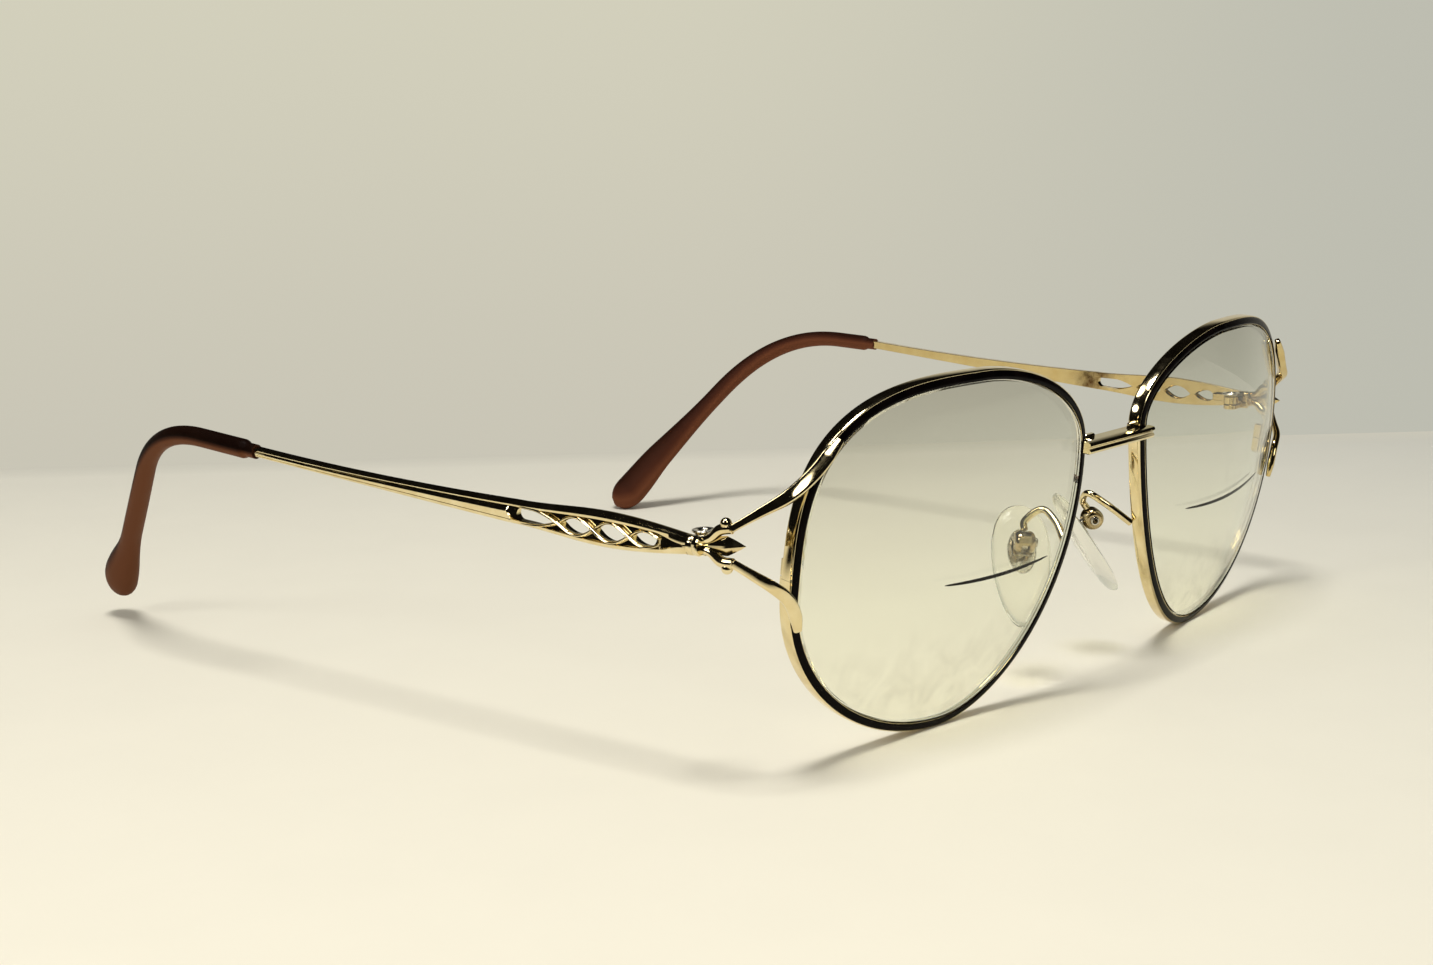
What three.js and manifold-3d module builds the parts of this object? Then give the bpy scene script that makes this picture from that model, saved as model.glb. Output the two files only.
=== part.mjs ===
// Full-rim metal spectacles with openwork temples, drawn in millimetres.
// Z is up, the front faces -Y and +X is the wearer's left. The floor is z = 0.
import * as THREE from 'three';
import Module from 'manifold-3d';
import { mergeVertices } from 'three/addons/utils/BufferGeometryUtils.js';

const wasm = await Module();
wasm.setup();

// Eye outline, boxed on the lens groove
const EYE_WIDTH = 54;
const EYE_HEIGHT = 47.1;
const NOSE_GAP = 16.2;
const CROWN_SHIFT = -3.2;
const FOOT_SHIFT = -1;
const NASAL_RISE = 11.8;
const TEMPORAL_RISE = -1;
const CROWN_OUTER_FULLNESS = 2.87;
const CROWN_INNER_FULLNESS = 1.84;
const FOOT_INNER_FULLNESS = 1.89;
const FOOT_OUTER_FULLNESS = 1.98;
const BASE_CURVE_RADIUS = 107.6;
const FACE_WRAP_DEG = 6.7;
const FRONT_TILT_DEG = 7.5;

// Rim wire and lens
const RIM_FACE = 1.4;
const RIM_PROUD = 0.95;
const RIM_DEPTH = 2.1;
const RIM_ROUND = 0.45;
const GROOVE_DEPTH = 0.55;
const GROOVE_WIDTH = 0.8;
const GROOVE_FLOOR = 0.24;
const LENS_THICK = 1.8;
const LENS_CLEARANCE = 0.12;
const LENS_SETBACK = 0.18;
const LENS_BEVEL = 0.5;

// Closing block that splits the rim
const SPLIT_ABOVE_TEMPLE_SIDE = 1.6;
const SPLIT_GAP = 0.14;
const BLOCK_INWARD = 0.75;
const BLOCK_WIDTH = 1.2;
const BLOCK_DEPTH = 0.95;
const BLOCK_HEIGHT = 2.1;
const BLOCK_STANDOFF = 0.22;
const CLOSING_SCREW_RADIUS = 0.3;
const CLOSING_HEAD_RADIUS = 0.48;
const CLOSING_HEAD_HEIGHT = 0.3;

// Bridge
const BRIDGE_LEVEL = 11;
const BRIDGE_TALL = 1.7;
const BRIDGE_DEEP = 1.3;
const BRIDGE_GROOVE = 0.3;
const BRIDGE_OVERLAP = 1.4;
const BRIDGE_LUG_LENGTH = 2.2;
const BRIDGE_LUG_DEEP = 0.7;
const BRIDGE_LUG_RISE = 0.5;
const BRIDGE_BACK_DEEP = 1.3;
const BRIDGE_BACK_ROOT = 0.2;
const BRIDGE_RIB_SHARE = 0.55;
const BRIDGE_CLEARANCE = 0.25;

// Hinge, measured from the outer edge of the eye
const HINGE_REACH = 4.8;
const HINGE_BACK = 15.6;
const HINGE_LEVEL = 6.35;
const BARREL_RADIUS = 1.2;
const BARREL_BORE = 0.56;
const MIDDLE_BARREL = 1.3;
const OUTER_BARREL = 0.75;
const BARREL_GAP = 0.06;
const LEAF_THICK = 0.7;
const FRONT_LEAF_LENGTH = 2.2;
const REAR_LEAF_LENGTH = 3.4;
const LEAF_INSET = 0.3;
const KNUCKLE_ROOM = 0.15;
const JOINT_LEAD = 0.55;
const JOINT_GAP = 0.2;
const HINGE_SCREW_RADIUS = 0.5;
const HINGE_HEAD_RADIUS = 1.05;
const HINGE_HEAD_HEIGHT = 0.3;

// Tulip endpiece with its two arms
const COLLAR_LENGTH = 1.9;
const COLLAR_TALL = 2.4;
const COLLAR_THICK = 2;
const COLLAR_BEVEL = 0.4;
const COLLAR_FACET_DEEP = 0.6;
const COLLAR_FACET_TALL = 0.7;
const TULIP_LENGTH = 7.7;
const TULIP_LEAN_DEG = 13;
const TULIP_RISE_DEG = 3;
const SPIKE_HALF_WIDTH = 1.25;
const SPIKE_RIDGE = 0.85;
const SPIKE_ROOT_SCALE = 0.3;
const SPIKE_POINT_SCALE = 0.05;
const SPIKE_BELLY_SHARE = 0.6;
const KNOB_RADIUS = 0.68;
const KNOB_AT = 5.1;
const KNOB_RISE = 2.75;
const LEAF_ROOT_RADIUS = 0.42;
const LEAF_RADIUS = 0.6;
const LEAF_ROOT_RISE = 0.35;
const ARM_ROOT_AT = 6;
const ARM_ROOT_RISE = 2.18;
const ARM_ROOT_GAP = 0.45;
const ARM_FLATNESS = 0.72;
const ARM_FLARE = 3.7;
const ARM_TAPER_SHARE = 0.85;
const UPPER_ARM_THIN = 0.46;
const UPPER_ARM_THICK = 0.9;
const UPPER_ARM_LEVEL = 10.3;
const UPPER_ARM_LAP = 8.5;
const UPPER_ARM_REST = 0.75;
const LOWER_ARM_THIN = 0.56;
const LOWER_ARM_THICK = 0.82;
const LOWER_ARM_LEVEL = 0.5;
const LOWER_ARM_LAP = 6.2;
const LOWER_ARM_REST = 0.25;

// Temple bar and its openwork
const BAR_LENGTH = 81.8;
const BAR_OFFSET = 3.3;
const BAR_THICK = 1.4;
const BAR_CHAMFER = 0.14;
const TOP_BEVEL_SHARE = 0.8;
const BAR_LOWER_BEVEL = 0.3;
const BAR_SPLAY_DEG = 2.7;
const BAR_RISE = 1.5;
const BAR_BOW = 2.4;
const NECK_TALL = 2.4;
const OPENWORK_TALL = 4.5;
const TALLEST_AT = 13.5;
const BAR_TALL = 3.1;
const BAR_END_TALL = 1.4;
const OPENWORK_START = 4.7;
const OPENWORK_END = 29;
const LAST_CROSSING = 21;
const CROSSING_PITCH = 6;
const TOP_RAIL = 1;
const BOTTOM_RAIL = 0.55;
const POCKET_DEPTH = 0.8;
const POCKET_WALL = 0.22;
const POCKET_RUN_IN = 0.9;
const NECK_GROOVE_DEPTH = 0.35;
const NECK_GROOVE_SHARE = 0.2;
const THINNEST_RAIL_SHARE = 0.45;
const GROOVE_RUN_IN = 1.2;
const GROOVE_DEPTH_SHARE = 0.55;
const GROOVE_DEPTH_AT_TIP = 0.12;
const GROOVE_TALL_SHARE = 0.58;
const POCKET_SLANT = 0.72;
const GROOVE_SLANT = 0.3;
const STRAND_RADIUS = 0.27;
const STRAND_DEEP = 0.44;
const STRAND_SINK = 0.34;
const STRAND_TWIST = 0.13;
const STRAND_LEAD = 0.8;
const STRAND_TAIL = 0.2;
const CROSSING_HALF = 0.4;
const WINDOW_END = 0.3;
const STRANDS_PART_SHARE = 0.55;
const STRAND_INSET = { crossing: 0.8, rear: -0.35 };

// Temple tip, with its own bend for each ear
const TIP_STRAIGHT = { left: 26.6, right: 23.7 };
const TIP_FLARE = { left: -0.4, right: 0.7 };
const TIP_RISE = { left: 1, right: 2.05 };
const TIP_RUN = { left: 17.7, right: 30 };
const TIP_INSET = { left: 31.7, right: 11.3 };
const TIP_DROP = { left: 33.77, right: 31.85 };
const TIP_BEND = { left: 17, right: 11.2 };
const TIP_TALL = 2.9;
const TIP_THICK = 2.65;
const TIP_LEG_TALL = 3.45;
const TIP_LEG_THICK = 3.35;
const TIP_PADDLE_TALL = 6.9;
const TIP_PADDLE_THICK = 4.8;
const TIP_PADDLE_SHARE = 0.7;
const TIP_PADDLE_THICK_SHARE = 0.8;
const TIP_KICK = { left: 1, right: 0.3 };
const TIP_BLUNT_SHARE = 0.94;
const TIP_LIP_SCALE = 0.75;
const TIP_LIP_SHARE = 0.04;
const TIP_BORE_CLEARANCE = 0.05;
const CORE_RADIUS = 0.6;
const CORE_LENGTH = 52;
const CORE_ROOT = 1;
const CORE_ROOM = 0.3;

// Nose pads
const PAD_LENGTH = 18.4;
const PAD_WIDTH = 8.9;
const PAD_THICK = 1.9;
const PAD_SIDES = 18;
const PAD_BELLY_SHARE = 0.22;
const PAD_BELOW_SCREW = 2.5;
const PAD_STANDOFF = 2.85;
const PAD_SCREW_OUT = 9.5;
const PAD_SCREW_BACK = 7.8;
const PAD_SCREW_LEVEL = -3.3;
const PAD_YAW_DEG = 44.6;
const PAD_SPREAD_DEG = 32;
const PAD_LEAN_INWARD = 0.85;
const PAD_LEAN_BACK = 0.6;
const PAD_UPRIGHT = 0.82;
const INSERT_LENGTH = 6.6;
const INSERT_WIDTH = 3.9;
const INSERT_THICK = 0.5;
const INSERT_DROP = 0.6;
const INSERT_ROOM = 0.12;
const FOOT_GAP = 0.12;
const FOOT_UP = 1.2;
const FOOT_DOWN = 1.4;
const BOX_RADIUS = 1.6;
const BOX_WIDTH = 2.8;
const BOX_SLOT = 1.1;
const LUG_THICK = 0.9;
const LUG_RADIUS = 1.05;
const PAD_SCREW_RADIUS = 0.4;
const PAD_HEAD_RADIUS = 0.68;
const PAD_HEAD_HEIGHT = 0.35;
const PAD_ARM_RADIUS = 0.52;
const PAD_ARM_LEVEL = -3;
const PAD_ARM_RISE = 4.3;
const PAD_ARM_INWARD = 2.8;
const PAD_ARM_FORWARD = 3.4;
const PAD_ARM_ENTRY = 1.3;
const PAD_ARM_OFFSET = 0.2;

// Shared fits
const SOLDER_GAP = 0.06;
const PIN_CLEARANCE = 0.06;
const SMALLEST_STEP = 0.012;
const THROUGH = 9;

const SIDES = ['left', 'right'];
const FLIP = { left: 1, right: -1 };
const rad = THREE.MathUtils.degToRad;
const lerp = THREE.MathUtils.lerp;
const smooth = THREE.MathUtils.smoothstep;
const vec = (x, y, z) => new THREE.Vector3(x, y, z);

// Finishes
const gold = () => new THREE.MeshStandardMaterial({ color: 0xcaa24a, roughness: 0.18, metalness: 1 });
const enamel = () => new THREE.MeshStandardMaterial({ color: 0x1b1618, roughness: 0.2, metalness: 0.4 });
const steel = () => new THREE.MeshStandardMaterial({ color: 0xb9b3a2, roughness: 0.3, metalness: 1 });
const acetate = () => new THREE.MeshStandardMaterial({ color: 0x6f3f36, roughness: 0.3, metalness: 0 });
const clear = () => new THREE.MeshStandardMaterial({
  color: 0xdfe0cf, roughness: 0.15, metalness: 0, transparent: true, opacity: 0.5,
});
const glass = () => new THREE.MeshStandardMaterial({
  color: 0xd9d6c4, roughness: 0.04, metalness: 0, transparent: true, opacity: 0.3,
});

// Solid helpers

function shell(vertices, faces) {
  let volume = 0;
  for (const [a, b, c] of faces) {
    volume += vertices[a].dot(vertices[b].clone().cross(vertices[c]));
  }
  const turned = volume < 0 ? faces.map(([a, b, c]) => [a, c, b]) : faces;
  const geometry = new THREE.BufferGeometry().setFromPoints(vertices);
  geometry.setIndex(turned.flat());
  geometry.computeVertexNormals();
  return geometry;
}

// Triangles of a flat end, all wound the way the profile runs
function capOf(profile) {
  const way = Math.sign(THREE.ShapeUtils.area(profile));
  return THREE.ShapeUtils.triangulateShape(profile, []).map((face) => {
    const corners = face.map((index) => profile[index]);
    return Math.sign(THREE.ShapeUtils.area(corners)) === way ? face : [face[0], face[2], face[1]];
  });
}

function fan(count) {
  return Array.from({ length: count - 2 }, (_, i) => [0, i + 1, i + 2]);
}

// Skin over a row of equal rings, closed by the same cap at both ends
function skin(rings, cap) {
  const count = rings[0].length;
  const faces = [];
  for (let i = 0; i + 1 < rings.length; i++) {
    for (let j = 0; j < count; j++) {
      const k = (j + 1) % count;
      faces.push([i * count + j, i * count + k, (i + 1) * count + k]);
      faces.push([i * count + j, (i + 1) * count + k, (i + 1) * count + j]);
    }
  }
  const last = (rings.length - 1) * count;
  for (const [a, b, c] of cap) {
    faces.push([a, c, b]);
    faces.push([last + a, last + b, last + c]);
  }
  return shell(rings.flat(), faces);
}

// Tube of changing oval section; the first radius and the shift lie along the reference direction
function tube(curve, reference, radii, stations, sides, shift = () => 0) {
  const rings = stations.map((s) => {
    const along = curve.getTangentAt(s);
    const wide = reference.clone().addScaledVector(along, -reference.dot(along)).normalize();
    const high = along.clone().cross(wide);
    const centre = curve.getPointAt(s).addScaledVector(wide, shift(s));
    const [a, b] = radii(s);
    return Array.from({ length: sides }, (_, j) => {
      const turn = (2 * Math.PI * (j + 0.5)) / sides;
      const point = centre.clone().addScaledVector(wide, a * Math.cos(turn));
      return point.addScaledVector(high, b * Math.sin(turn));
    });
  });
  return skin(rings, fan(sides));
}

function even(steps, from = 0, to = 1) {
  return Array.from({ length: steps + 1 }, (_, i) => lerp(from, to, i / steps));
}

function solid(geometry) {
  const bare = geometry.clone();
  bare.deleteAttribute('normal');
  bare.deleteAttribute('uv');
  const merged = mergeVertices(bare, 1e-5);
  const vertProperties = Float32Array.from(merged.attributes.position.array);
  const triVerts = Uint32Array.from(merged.index.array);
  return new wasm.Manifold(new wasm.Mesh({ numProp: 3, vertProperties, triVerts }));
}

function geometryOf(body) {
  const mesh = body.simplify(SMALLEST_STEP).getMesh();
  const geometry = new THREE.BufferGeometry();
  geometry.setAttribute('position', new THREE.BufferAttribute(mesh.vertProperties, 3));
  geometry.setIndex(new THREE.BufferAttribute(mesh.triVerts, 1));
  geometry.computeVertexNormals();
  return geometry;
}

const join = (...parts) => parts.map(solid).reduce((sum, part) => sum.add(part));
const cut = (body, ...parts) => parts.map(solid).reduce((rest, part) => rest.subtract(part), body);

function box(x0, x1, y0, y1, z0, z1) {
  const geometry = new THREE.BoxGeometry(x1 - x0, y1 - y0, z1 - z0);
  return geometry.translate((x0 + x1) / 2, (y0 + y1) / 2, (z0 + z1) / 2);
}

function upright(radius, z0, z1, sides = 12) {
  const geometry = new THREE.CylinderGeometry(radius, radius, z1 - z0, sides);
  return geometry.rotateX(Math.PI / 2).translate(0, 0, (z0 + z1) / 2);
}

// Screw along Z with its head at the top
function screw(radius, headRadius, headHeight, bottom, seat) {
  const outline = [
    [0, bottom],
    [radius, bottom],
    [radius, seat],
    [headRadius, seat],
    [headRadius, seat + headHeight * 0.6],
    [headRadius * 0.75, seat + headHeight],
    [0, seat + headHeight],
  ];
  const profile = outline.map(([r, z]) => new THREE.Vector2(r, z));
  return new THREE.LatheGeometry(profile, 10).rotateX(Math.PI / 2);
}

function piece(name, geometry, material) {
  const mesh = new THREE.Mesh(geometry, material);
  mesh.name = name;
  return mesh;
}

// Eye outline: four quarter superellipses between its extreme points, from the temple side upward
class EyeOutline extends THREE.Curve {
  constructor() {
    super();
    this.arcLengthDivisions = 1200;
  }

  getPoint(t, target = new THREE.Vector3()) {
    const east = Math.cos(2 * Math.PI * t);
    const north = Math.sin(2 * Math.PI * t);
    const middleX = north >= 0 ? CROWN_SHIFT : FOOT_SHIFT;
    const middleZ = east >= 0 ? TEMPORAL_RISE : NASAL_RISE;
    const crown = east >= 0 ? CROWN_OUTER_FULLNESS : CROWN_INNER_FULLNESS;
    const foot = east >= 0 ? FOOT_OUTER_FULLNESS : FOOT_INNER_FULLNESS;
    const power = 2 / (north >= 0 ? crown : foot);
    const radiusX = EYE_WIDTH / 2 - Math.sign(east) * middleX;
    const radiusZ = EYE_HEIGHT / 2 - Math.sign(north) * middleZ;
    const x = middleX + radiusX * Math.sign(east) * Math.abs(east) ** power;
    const z = middleZ + radiusZ * Math.sign(north) * Math.abs(north) ** power;
    return target.set(x, 0, z);
  }
}

const outline = new EyeOutline();
const outlineLength = outline.getLength();
const sag = (x, z) => BASE_CURVE_RADIUS - Math.sqrt(BASE_CURVE_RADIUS ** 2 - x * x - z * z);

// A point of the eye by its place along the outline, its offset outward and its depth behind the base curve
function onOutline(length, outward, depth) {
  const share = (((length / outlineLength) % 1) + 1) % 1;
  const point = outline.getPointAt(share);
  const along = outline.getTangentAt(share);
  const out = vec(along.z, 0, -along.x).normalize();
  point.addScaledVector(out, outward);
  point.y = sag(point.x, point.z) + depth;
  return point;
}

// Length along the outline where it comes nearest to a level, on the temple side or the nose side
function lengthAtLevel(level, templeSide) {
  const lengths = outline.getLengths();
  const last = lengths.length - 1;
  let best = 0;
  let nearest = Infinity;
  for (let i = 0; i < last; i++) {
    const point = outline.getPoint(i / last);
    const miss = Math.abs(point.z - level);
    if (point.x > 0 === templeSide && miss < nearest) {
      nearest = miss;
      best = i;
    }
  }
  return lengths[best];
}

// Rim: grooved wire round the eye, open at the closing block
const RIM_FRONT = -RIM_PROUD;
const RIM_BACK = RIM_FRONT + RIM_DEPTH;
const RIM_MIDDLE = (RIM_FRONT + RIM_BACK) / 2;
const SPLIT_AT = SPLIT_ABOVE_TEMPLE_SIDE;
const RIM_STEPS = 48;
const LENS_STEPS = 40;

function rimProfile() {
  const inner = -RIM_FACE / 2;
  const outer = RIM_FACE / 2;
  const round = Math.min(RIM_ROUND, RIM_FACE / 2.2);
  const shape = new THREE.Shape();
  shape.moveTo(inner, RIM_FRONT + round);
  shape.quadraticCurveTo(inner, RIM_FRONT, inner + round, RIM_FRONT);
  shape.lineTo(outer - round, RIM_FRONT);
  shape.quadraticCurveTo(outer, RIM_FRONT, outer, RIM_FRONT + round);
  shape.lineTo(outer, RIM_BACK - round);
  shape.lineTo(outer - round, RIM_BACK);
  shape.lineTo(inner, RIM_BACK);
  shape.lineTo(inner, RIM_MIDDLE + GROOVE_WIDTH / 2);
  shape.lineTo(inner + GROOVE_DEPTH, RIM_MIDDLE + GROOVE_FLOOR / 2);
  shape.lineTo(inner + GROOVE_DEPTH, RIM_MIDDLE - GROOVE_FLOOR / 2);
  shape.lineTo(inner, RIM_MIDDLE - GROOVE_WIDTH / 2);
  return shape.getPoints(2);
}

function rim() {
  const profile = rimProfile();
  const from = SPLIT_AT + SPLIT_GAP / 2;
  const to = outlineLength + SPLIT_AT - SPLIT_GAP / 2;
  const rings = even(RIM_STEPS, from, to).map(
    (length) => profile.map((p) => onOutline(length, p.x, p.y)),
  );
  return skin(rings, capOf(profile));
}

// Lens: meniscus with a bevelled edge that sits in the groove
function lens() {
  const edge = -RIM_FACE / 2 - LENS_SETBACK;
  const apex = -RIM_FACE / 2 + GROOVE_DEPTH - LENS_CLEARANCE;
  const face = RIM_MIDDLE - LENS_THICK / 2;
  const back = RIM_MIDDLE + LENS_THICK / 2;
  const lengths = even(LENS_STEPS, 0, outlineLength).slice(0, -1);
  const ring = (share, outward, depth) => lengths.map((length) => {
    const point = onOutline(length, outward, 0);
    return vec(point.x * share, sag(point.x * share, point.z * share) + depth, point.z * share);
  });
  const rings = [
    ring(0.02, edge, face),
    ring(0.55, edge, face),
    ring(1, edge, face),
    ring(1, edge, RIM_MIDDLE - LENS_BEVEL / 2),
    ring(1, apex, RIM_MIDDLE),
    ring(1, edge, RIM_MIDDLE + LENS_BEVEL / 2),
    ring(1, edge, back),
    ring(0.55, edge, back),
    ring(0.02, edge, back),
  ];
  return skin(rings, fan(lengths.length));
}

// Where the eye, the front and the hinge stand
const EYE_CENTRE = (EYE_WIDTH + NOSE_GAP) / 2;
const wrap = new THREE.Matrix4().makeRotationZ(rad(FACE_WRAP_DEG)).setPosition(EYE_CENTRE, 0, 0);
const tilt = new THREE.Matrix4().makeRotationX(rad(FRONT_TILT_DEG));
const eyeTurned = tilt.clone().multiply(wrap);

function frontHeight() {
  const corners = [[RIM_FACE / 2, RIM_FRONT + RIM_ROUND], [RIM_FACE / 2, RIM_BACK - RIM_ROUND]];
  const lows = even(240, 0, outlineLength).flatMap((length) => corners.map(
    ([out, depth]) => onOutline(length, out, depth).applyMatrix4(eyeTurned).z,
  ));
  return -Math.min(...lows);
}

const FRONT_HEIGHT = frontHeight();
const lift = new THREE.Matrix4().makeTranslation(0, 0, FRONT_HEIGHT);
const frontMatrix = lift.clone().multiply(tilt);
const eyeMatrix = lift.clone().multiply(eyeTurned);
const rimPoint = (length, outward, depth) => onOutline(length, outward, depth).applyMatrix4(eyeMatrix);
const HINGE = vec(EYE_CENTRE + EYE_WIDTH / 2 + HINGE_REACH, HINGE_BACK, FRONT_HEIGHT + HINGE_LEVEL);

// Closing block: two lugs on the rim's back, drawn together by an upright screw
const blockMatrix = (() => {
  const at = onOutline(SPLIT_AT, -BLOCK_INWARD, RIM_BACK + BLOCK_STANDOFF);
  const up = onOutline(SPLIT_AT + 1, 0, 0).sub(onOutline(SPLIT_AT - 1, 0, 0)).normalize();
  const out = vec(up.z, 0, -up.x).normalize();
  const deep = up.clone().cross(out).normalize();
  return new THREE.Matrix4().makeBasis(out, deep, up).setPosition(at);
})();

function closingBlock(low, high) {
  const body = solid(box(-BLOCK_WIDTH / 2, BLOCK_WIDTH / 2, 0, BLOCK_DEPTH, low, high));
  const bore = upright(CLOSING_SCREW_RADIUS + PIN_CLEARANCE, low - SPLIT_GAP, high + SPLIT_GAP);
  bore.translate(0, BLOCK_DEPTH / 2, 0);
  return geometryOf(cut(body, bore)).applyMatrix4(blockMatrix);
}

function closingScrew() {
  const seat = SPLIT_GAP / 2 + BLOCK_HEIGHT + SOLDER_GAP;
  const length = SPLIT_GAP / 2 + BLOCK_HEIGHT * 0.9;
  const body = screw(CLOSING_SCREW_RADIUS, CLOSING_HEAD_RADIUS, CLOSING_HEAD_HEIGHT, -length, seat);
  body.rotateX(Math.PI).translate(0, BLOCK_DEPTH / 2, 0);
  return body.applyMatrix4(blockMatrix);
}

// Bridge: grooved bar laid over both rims, with a back between them and a raised lug at each end
function bridge() {
  const length = lengthAtLevel(BRIDGE_LEVEL, false);
  const contact = onOutline(length, RIM_FACE / 2, RIM_FRONT).applyMatrix4(wrap);
  const reach = contact.x + BRIDGE_OVERLAP;
  const back = contact.y - SOLDER_GAP - BRIDGE_CLEARANCE;
  const front = back - BRIDGE_DEEP;
  const half = BRIDGE_TALL / 2;
  const shape = new THREE.Shape();
  shape.moveTo(back, -half);
  shape.lineTo(back, half);
  shape.lineTo(front + BRIDGE_GROOVE, half);
  shape.lineTo(front, half * BRIDGE_RIB_SHARE);
  shape.lineTo(front + BRIDGE_GROOVE, 0);
  shape.lineTo(front, -half * BRIDGE_RIB_SHARE);
  shape.lineTo(front + BRIDGE_GROOVE, -half);
  const bar = new THREE.ExtrudeGeometry(shape, { depth: 2 * reach, bevelEnabled: false });
  const across = new THREE.Matrix4().makeBasis(vec(0, 1, 0), vec(0, 0, 1), vec(1, 0, 0));
  bar.applyMatrix4(across.setPosition(-reach, 0, BRIDGE_LEVEL));
  const wall = contact.x - SOLDER_GAP - BRIDGE_CLEARANCE;
  const rear = back + BRIDGE_BACK_DEEP;
  const tall = [BRIDGE_LEVEL - half, BRIDGE_LEVEL + half];
  const spine = box(-wall, wall, back - BRIDGE_BACK_ROOT, rear, ...tall);
  const lugs = [-1, 1].map((side) => {
    const ends = [side * wall, side * (wall - BRIDGE_LUG_LENGTH)].sort((a, b) => a - b);
    return box(...ends, rear - BRIDGE_LUG_DEEP, rear, BRIDGE_LEVEL, tall[1] + BRIDGE_LUG_RISE);
  });
  return geometryOf(join(bar, spine, ...lugs)).applyMatrix4(frontMatrix);
}

// Tulip endpiece: a collar with a ridged centre leaf and two curling leaves that hold the arms
function tulipPoint(forward, up, outward = 0) {
  const lean = rad(TULIP_LEAN_DEG);
  const start = HINGE.clone().add(vec(BAR_OFFSET, -JOINT_LEAD - SOLDER_GAP, 0));
  const x = outward * Math.cos(lean) - forward * Math.sin(lean);
  const y = -forward * Math.cos(lean) - outward * Math.sin(lean);
  return start.add(vec(x, y, up + forward * Math.tan(rad(TULIP_RISE_DEG))));
}

const armRoot = (side) => tulipPoint(ARM_ROOT_AT, side * ARM_ROOT_RISE);

function curlingLeaf(side) {
  const curve = new THREE.CatmullRomCurve3([
    tulipPoint(COLLAR_LENGTH * 0.5, side * LEAF_ROOT_RISE),
    tulipPoint(lerp(COLLAR_LENGTH, ARM_ROOT_AT, 0.25), side * lerp(LEAF_ROOT_RISE, ARM_ROOT_RISE, 0.3)),
    tulipPoint(lerp(COLLAR_LENGTH, ARM_ROOT_AT, 0.6), side * lerp(LEAF_ROOT_RISE, ARM_ROOT_RISE, 0.88)),
    armRoot(side),
  ]);
  const size = (s) => {
    const radius = lerp(LEAF_ROOT_RADIUS, LEAF_RADIUS, smooth(s, 0, 0.7));
    return [radius, radius];
  };
  return tube(curve, vec(1, 0, 0), size, even(6), 8);
}

// Curled bud on the outer side of a leaf
function bud(side) {
  const ball = new THREE.SphereGeometry(KNOB_RADIUS, 10, 6);
  return ball.translate(...tulipPoint(KNOB_AT, side * KNOB_RISE).toArray());
}

function spikeScale(share) {
  if (share <= SPIKE_BELLY_SHARE) {
    return lerp(SPIKE_ROOT_SCALE, 1, smooth(share, 0, SPIKE_BELLY_SHARE));
  }
  const taper = (share - SPIKE_BELLY_SHARE) / (1 - SPIKE_BELLY_SHARE);
  return lerp(1, SPIKE_POINT_SCALE, taper ** 1.5);
}

function centreLeaf() {
  const start = COLLAR_LENGTH * 0.6;
  const rings = even(5).map((share) => {
    const forward = lerp(start, TULIP_LENGTH, share);
    const half = SPIKE_HALF_WIDTH * spikeScale(share);
    const ridge = SPIKE_RIDGE * spikeScale(share);
    return [
      tulipPoint(forward, half, 0),
      tulipPoint(forward, 0, ridge),
      tulipPoint(forward, -half, 0),
      tulipPoint(forward, 0, -ridge * 0.7),
    ];
  });
  return skin(rings, fan(4));
}

function endpiece() {
  const outer = HINGE.x + BAR_OFFSET + COLLAR_THICK / 2;
  const back = HINGE.y - JOINT_LEAD - SOLDER_GAP;
  const half = COLLAR_TALL / 2;
  const collar = new THREE.Shape();
  collar.moveTo(outer - COLLAR_THICK, -half + COLLAR_BEVEL);
  collar.lineTo(outer - COLLAR_THICK, half - COLLAR_BEVEL);
  collar.lineTo(outer - COLLAR_THICK + COLLAR_BEVEL, half);
  collar.lineTo(outer - COLLAR_FACET_DEEP, half);
  collar.lineTo(outer, half - COLLAR_FACET_TALL);
  collar.lineTo(outer, -half + COLLAR_FACET_TALL);
  collar.lineTo(outer - COLLAR_FACET_DEEP, -half);
  collar.lineTo(outer - COLLAR_THICK + COLLAR_BEVEL, -half);
  const block = new THREE.ExtrudeGeometry(collar, { depth: COLLAR_LENGTH, bevelEnabled: false });
  block.rotateX(Math.PI / 2).translate(0, back, HINGE.z);
  const leaves = [1, -1].flatMap((side) => [curlingLeaf(side), bud(side)]);
  return geometryOf(join(block, centreLeaf(), ...leaves));
}

// Arm from a leaf of the tulip: it comes in over the rim's edge and lies down along the rim's front
function arm(start, level, lap, rest, thin, thick) {
  const corner = lengthAtLevel(level, true);
  const depth = RIM_FRONT - thick * ARM_FLATNESS - SOLDER_GAP;
  const onRim = even(4).map((s) => {
    const outward = lerp(rest, ARM_FLARE, (1 - s) ** 3);
    return rimPoint(corner + lap * s, outward, depth);
  });
  const toward = onRim[0].clone().sub(start).normalize();
  const root = start.clone().addScaledVector(toward, ARM_ROOT_GAP);
  const curve = new THREE.CatmullRomCurve3([root, root.clone().lerp(onRim[0], 0.5), ...onRim]);
  const radii = (s) => {
    const radius = lerp(thin, thick, smooth(s, 0, 0.6));
    const taper = lerp(1, 0.6, Math.max(0, s - ARM_TAPER_SHARE) / (1 - ARM_TAPER_SHARE));
    return [radius * ARM_FLATNESS * taper, radius * taper];
  };
  return tube(curve, vec(0, -1, 0), radii, even(14), 8);
}

function upperArm() {
  return arm(armRoot(1), UPPER_ARM_LEVEL, UPPER_ARM_LAP, UPPER_ARM_REST, UPPER_ARM_THIN, UPPER_ARM_THICK);
}

function lowerArm() {
  return arm(armRoot(-1), LOWER_ARM_LEVEL, -LOWER_ARM_LAP, LOWER_ARM_REST, LOWER_ARM_THIN, LOWER_ARM_THICK);
}

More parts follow.
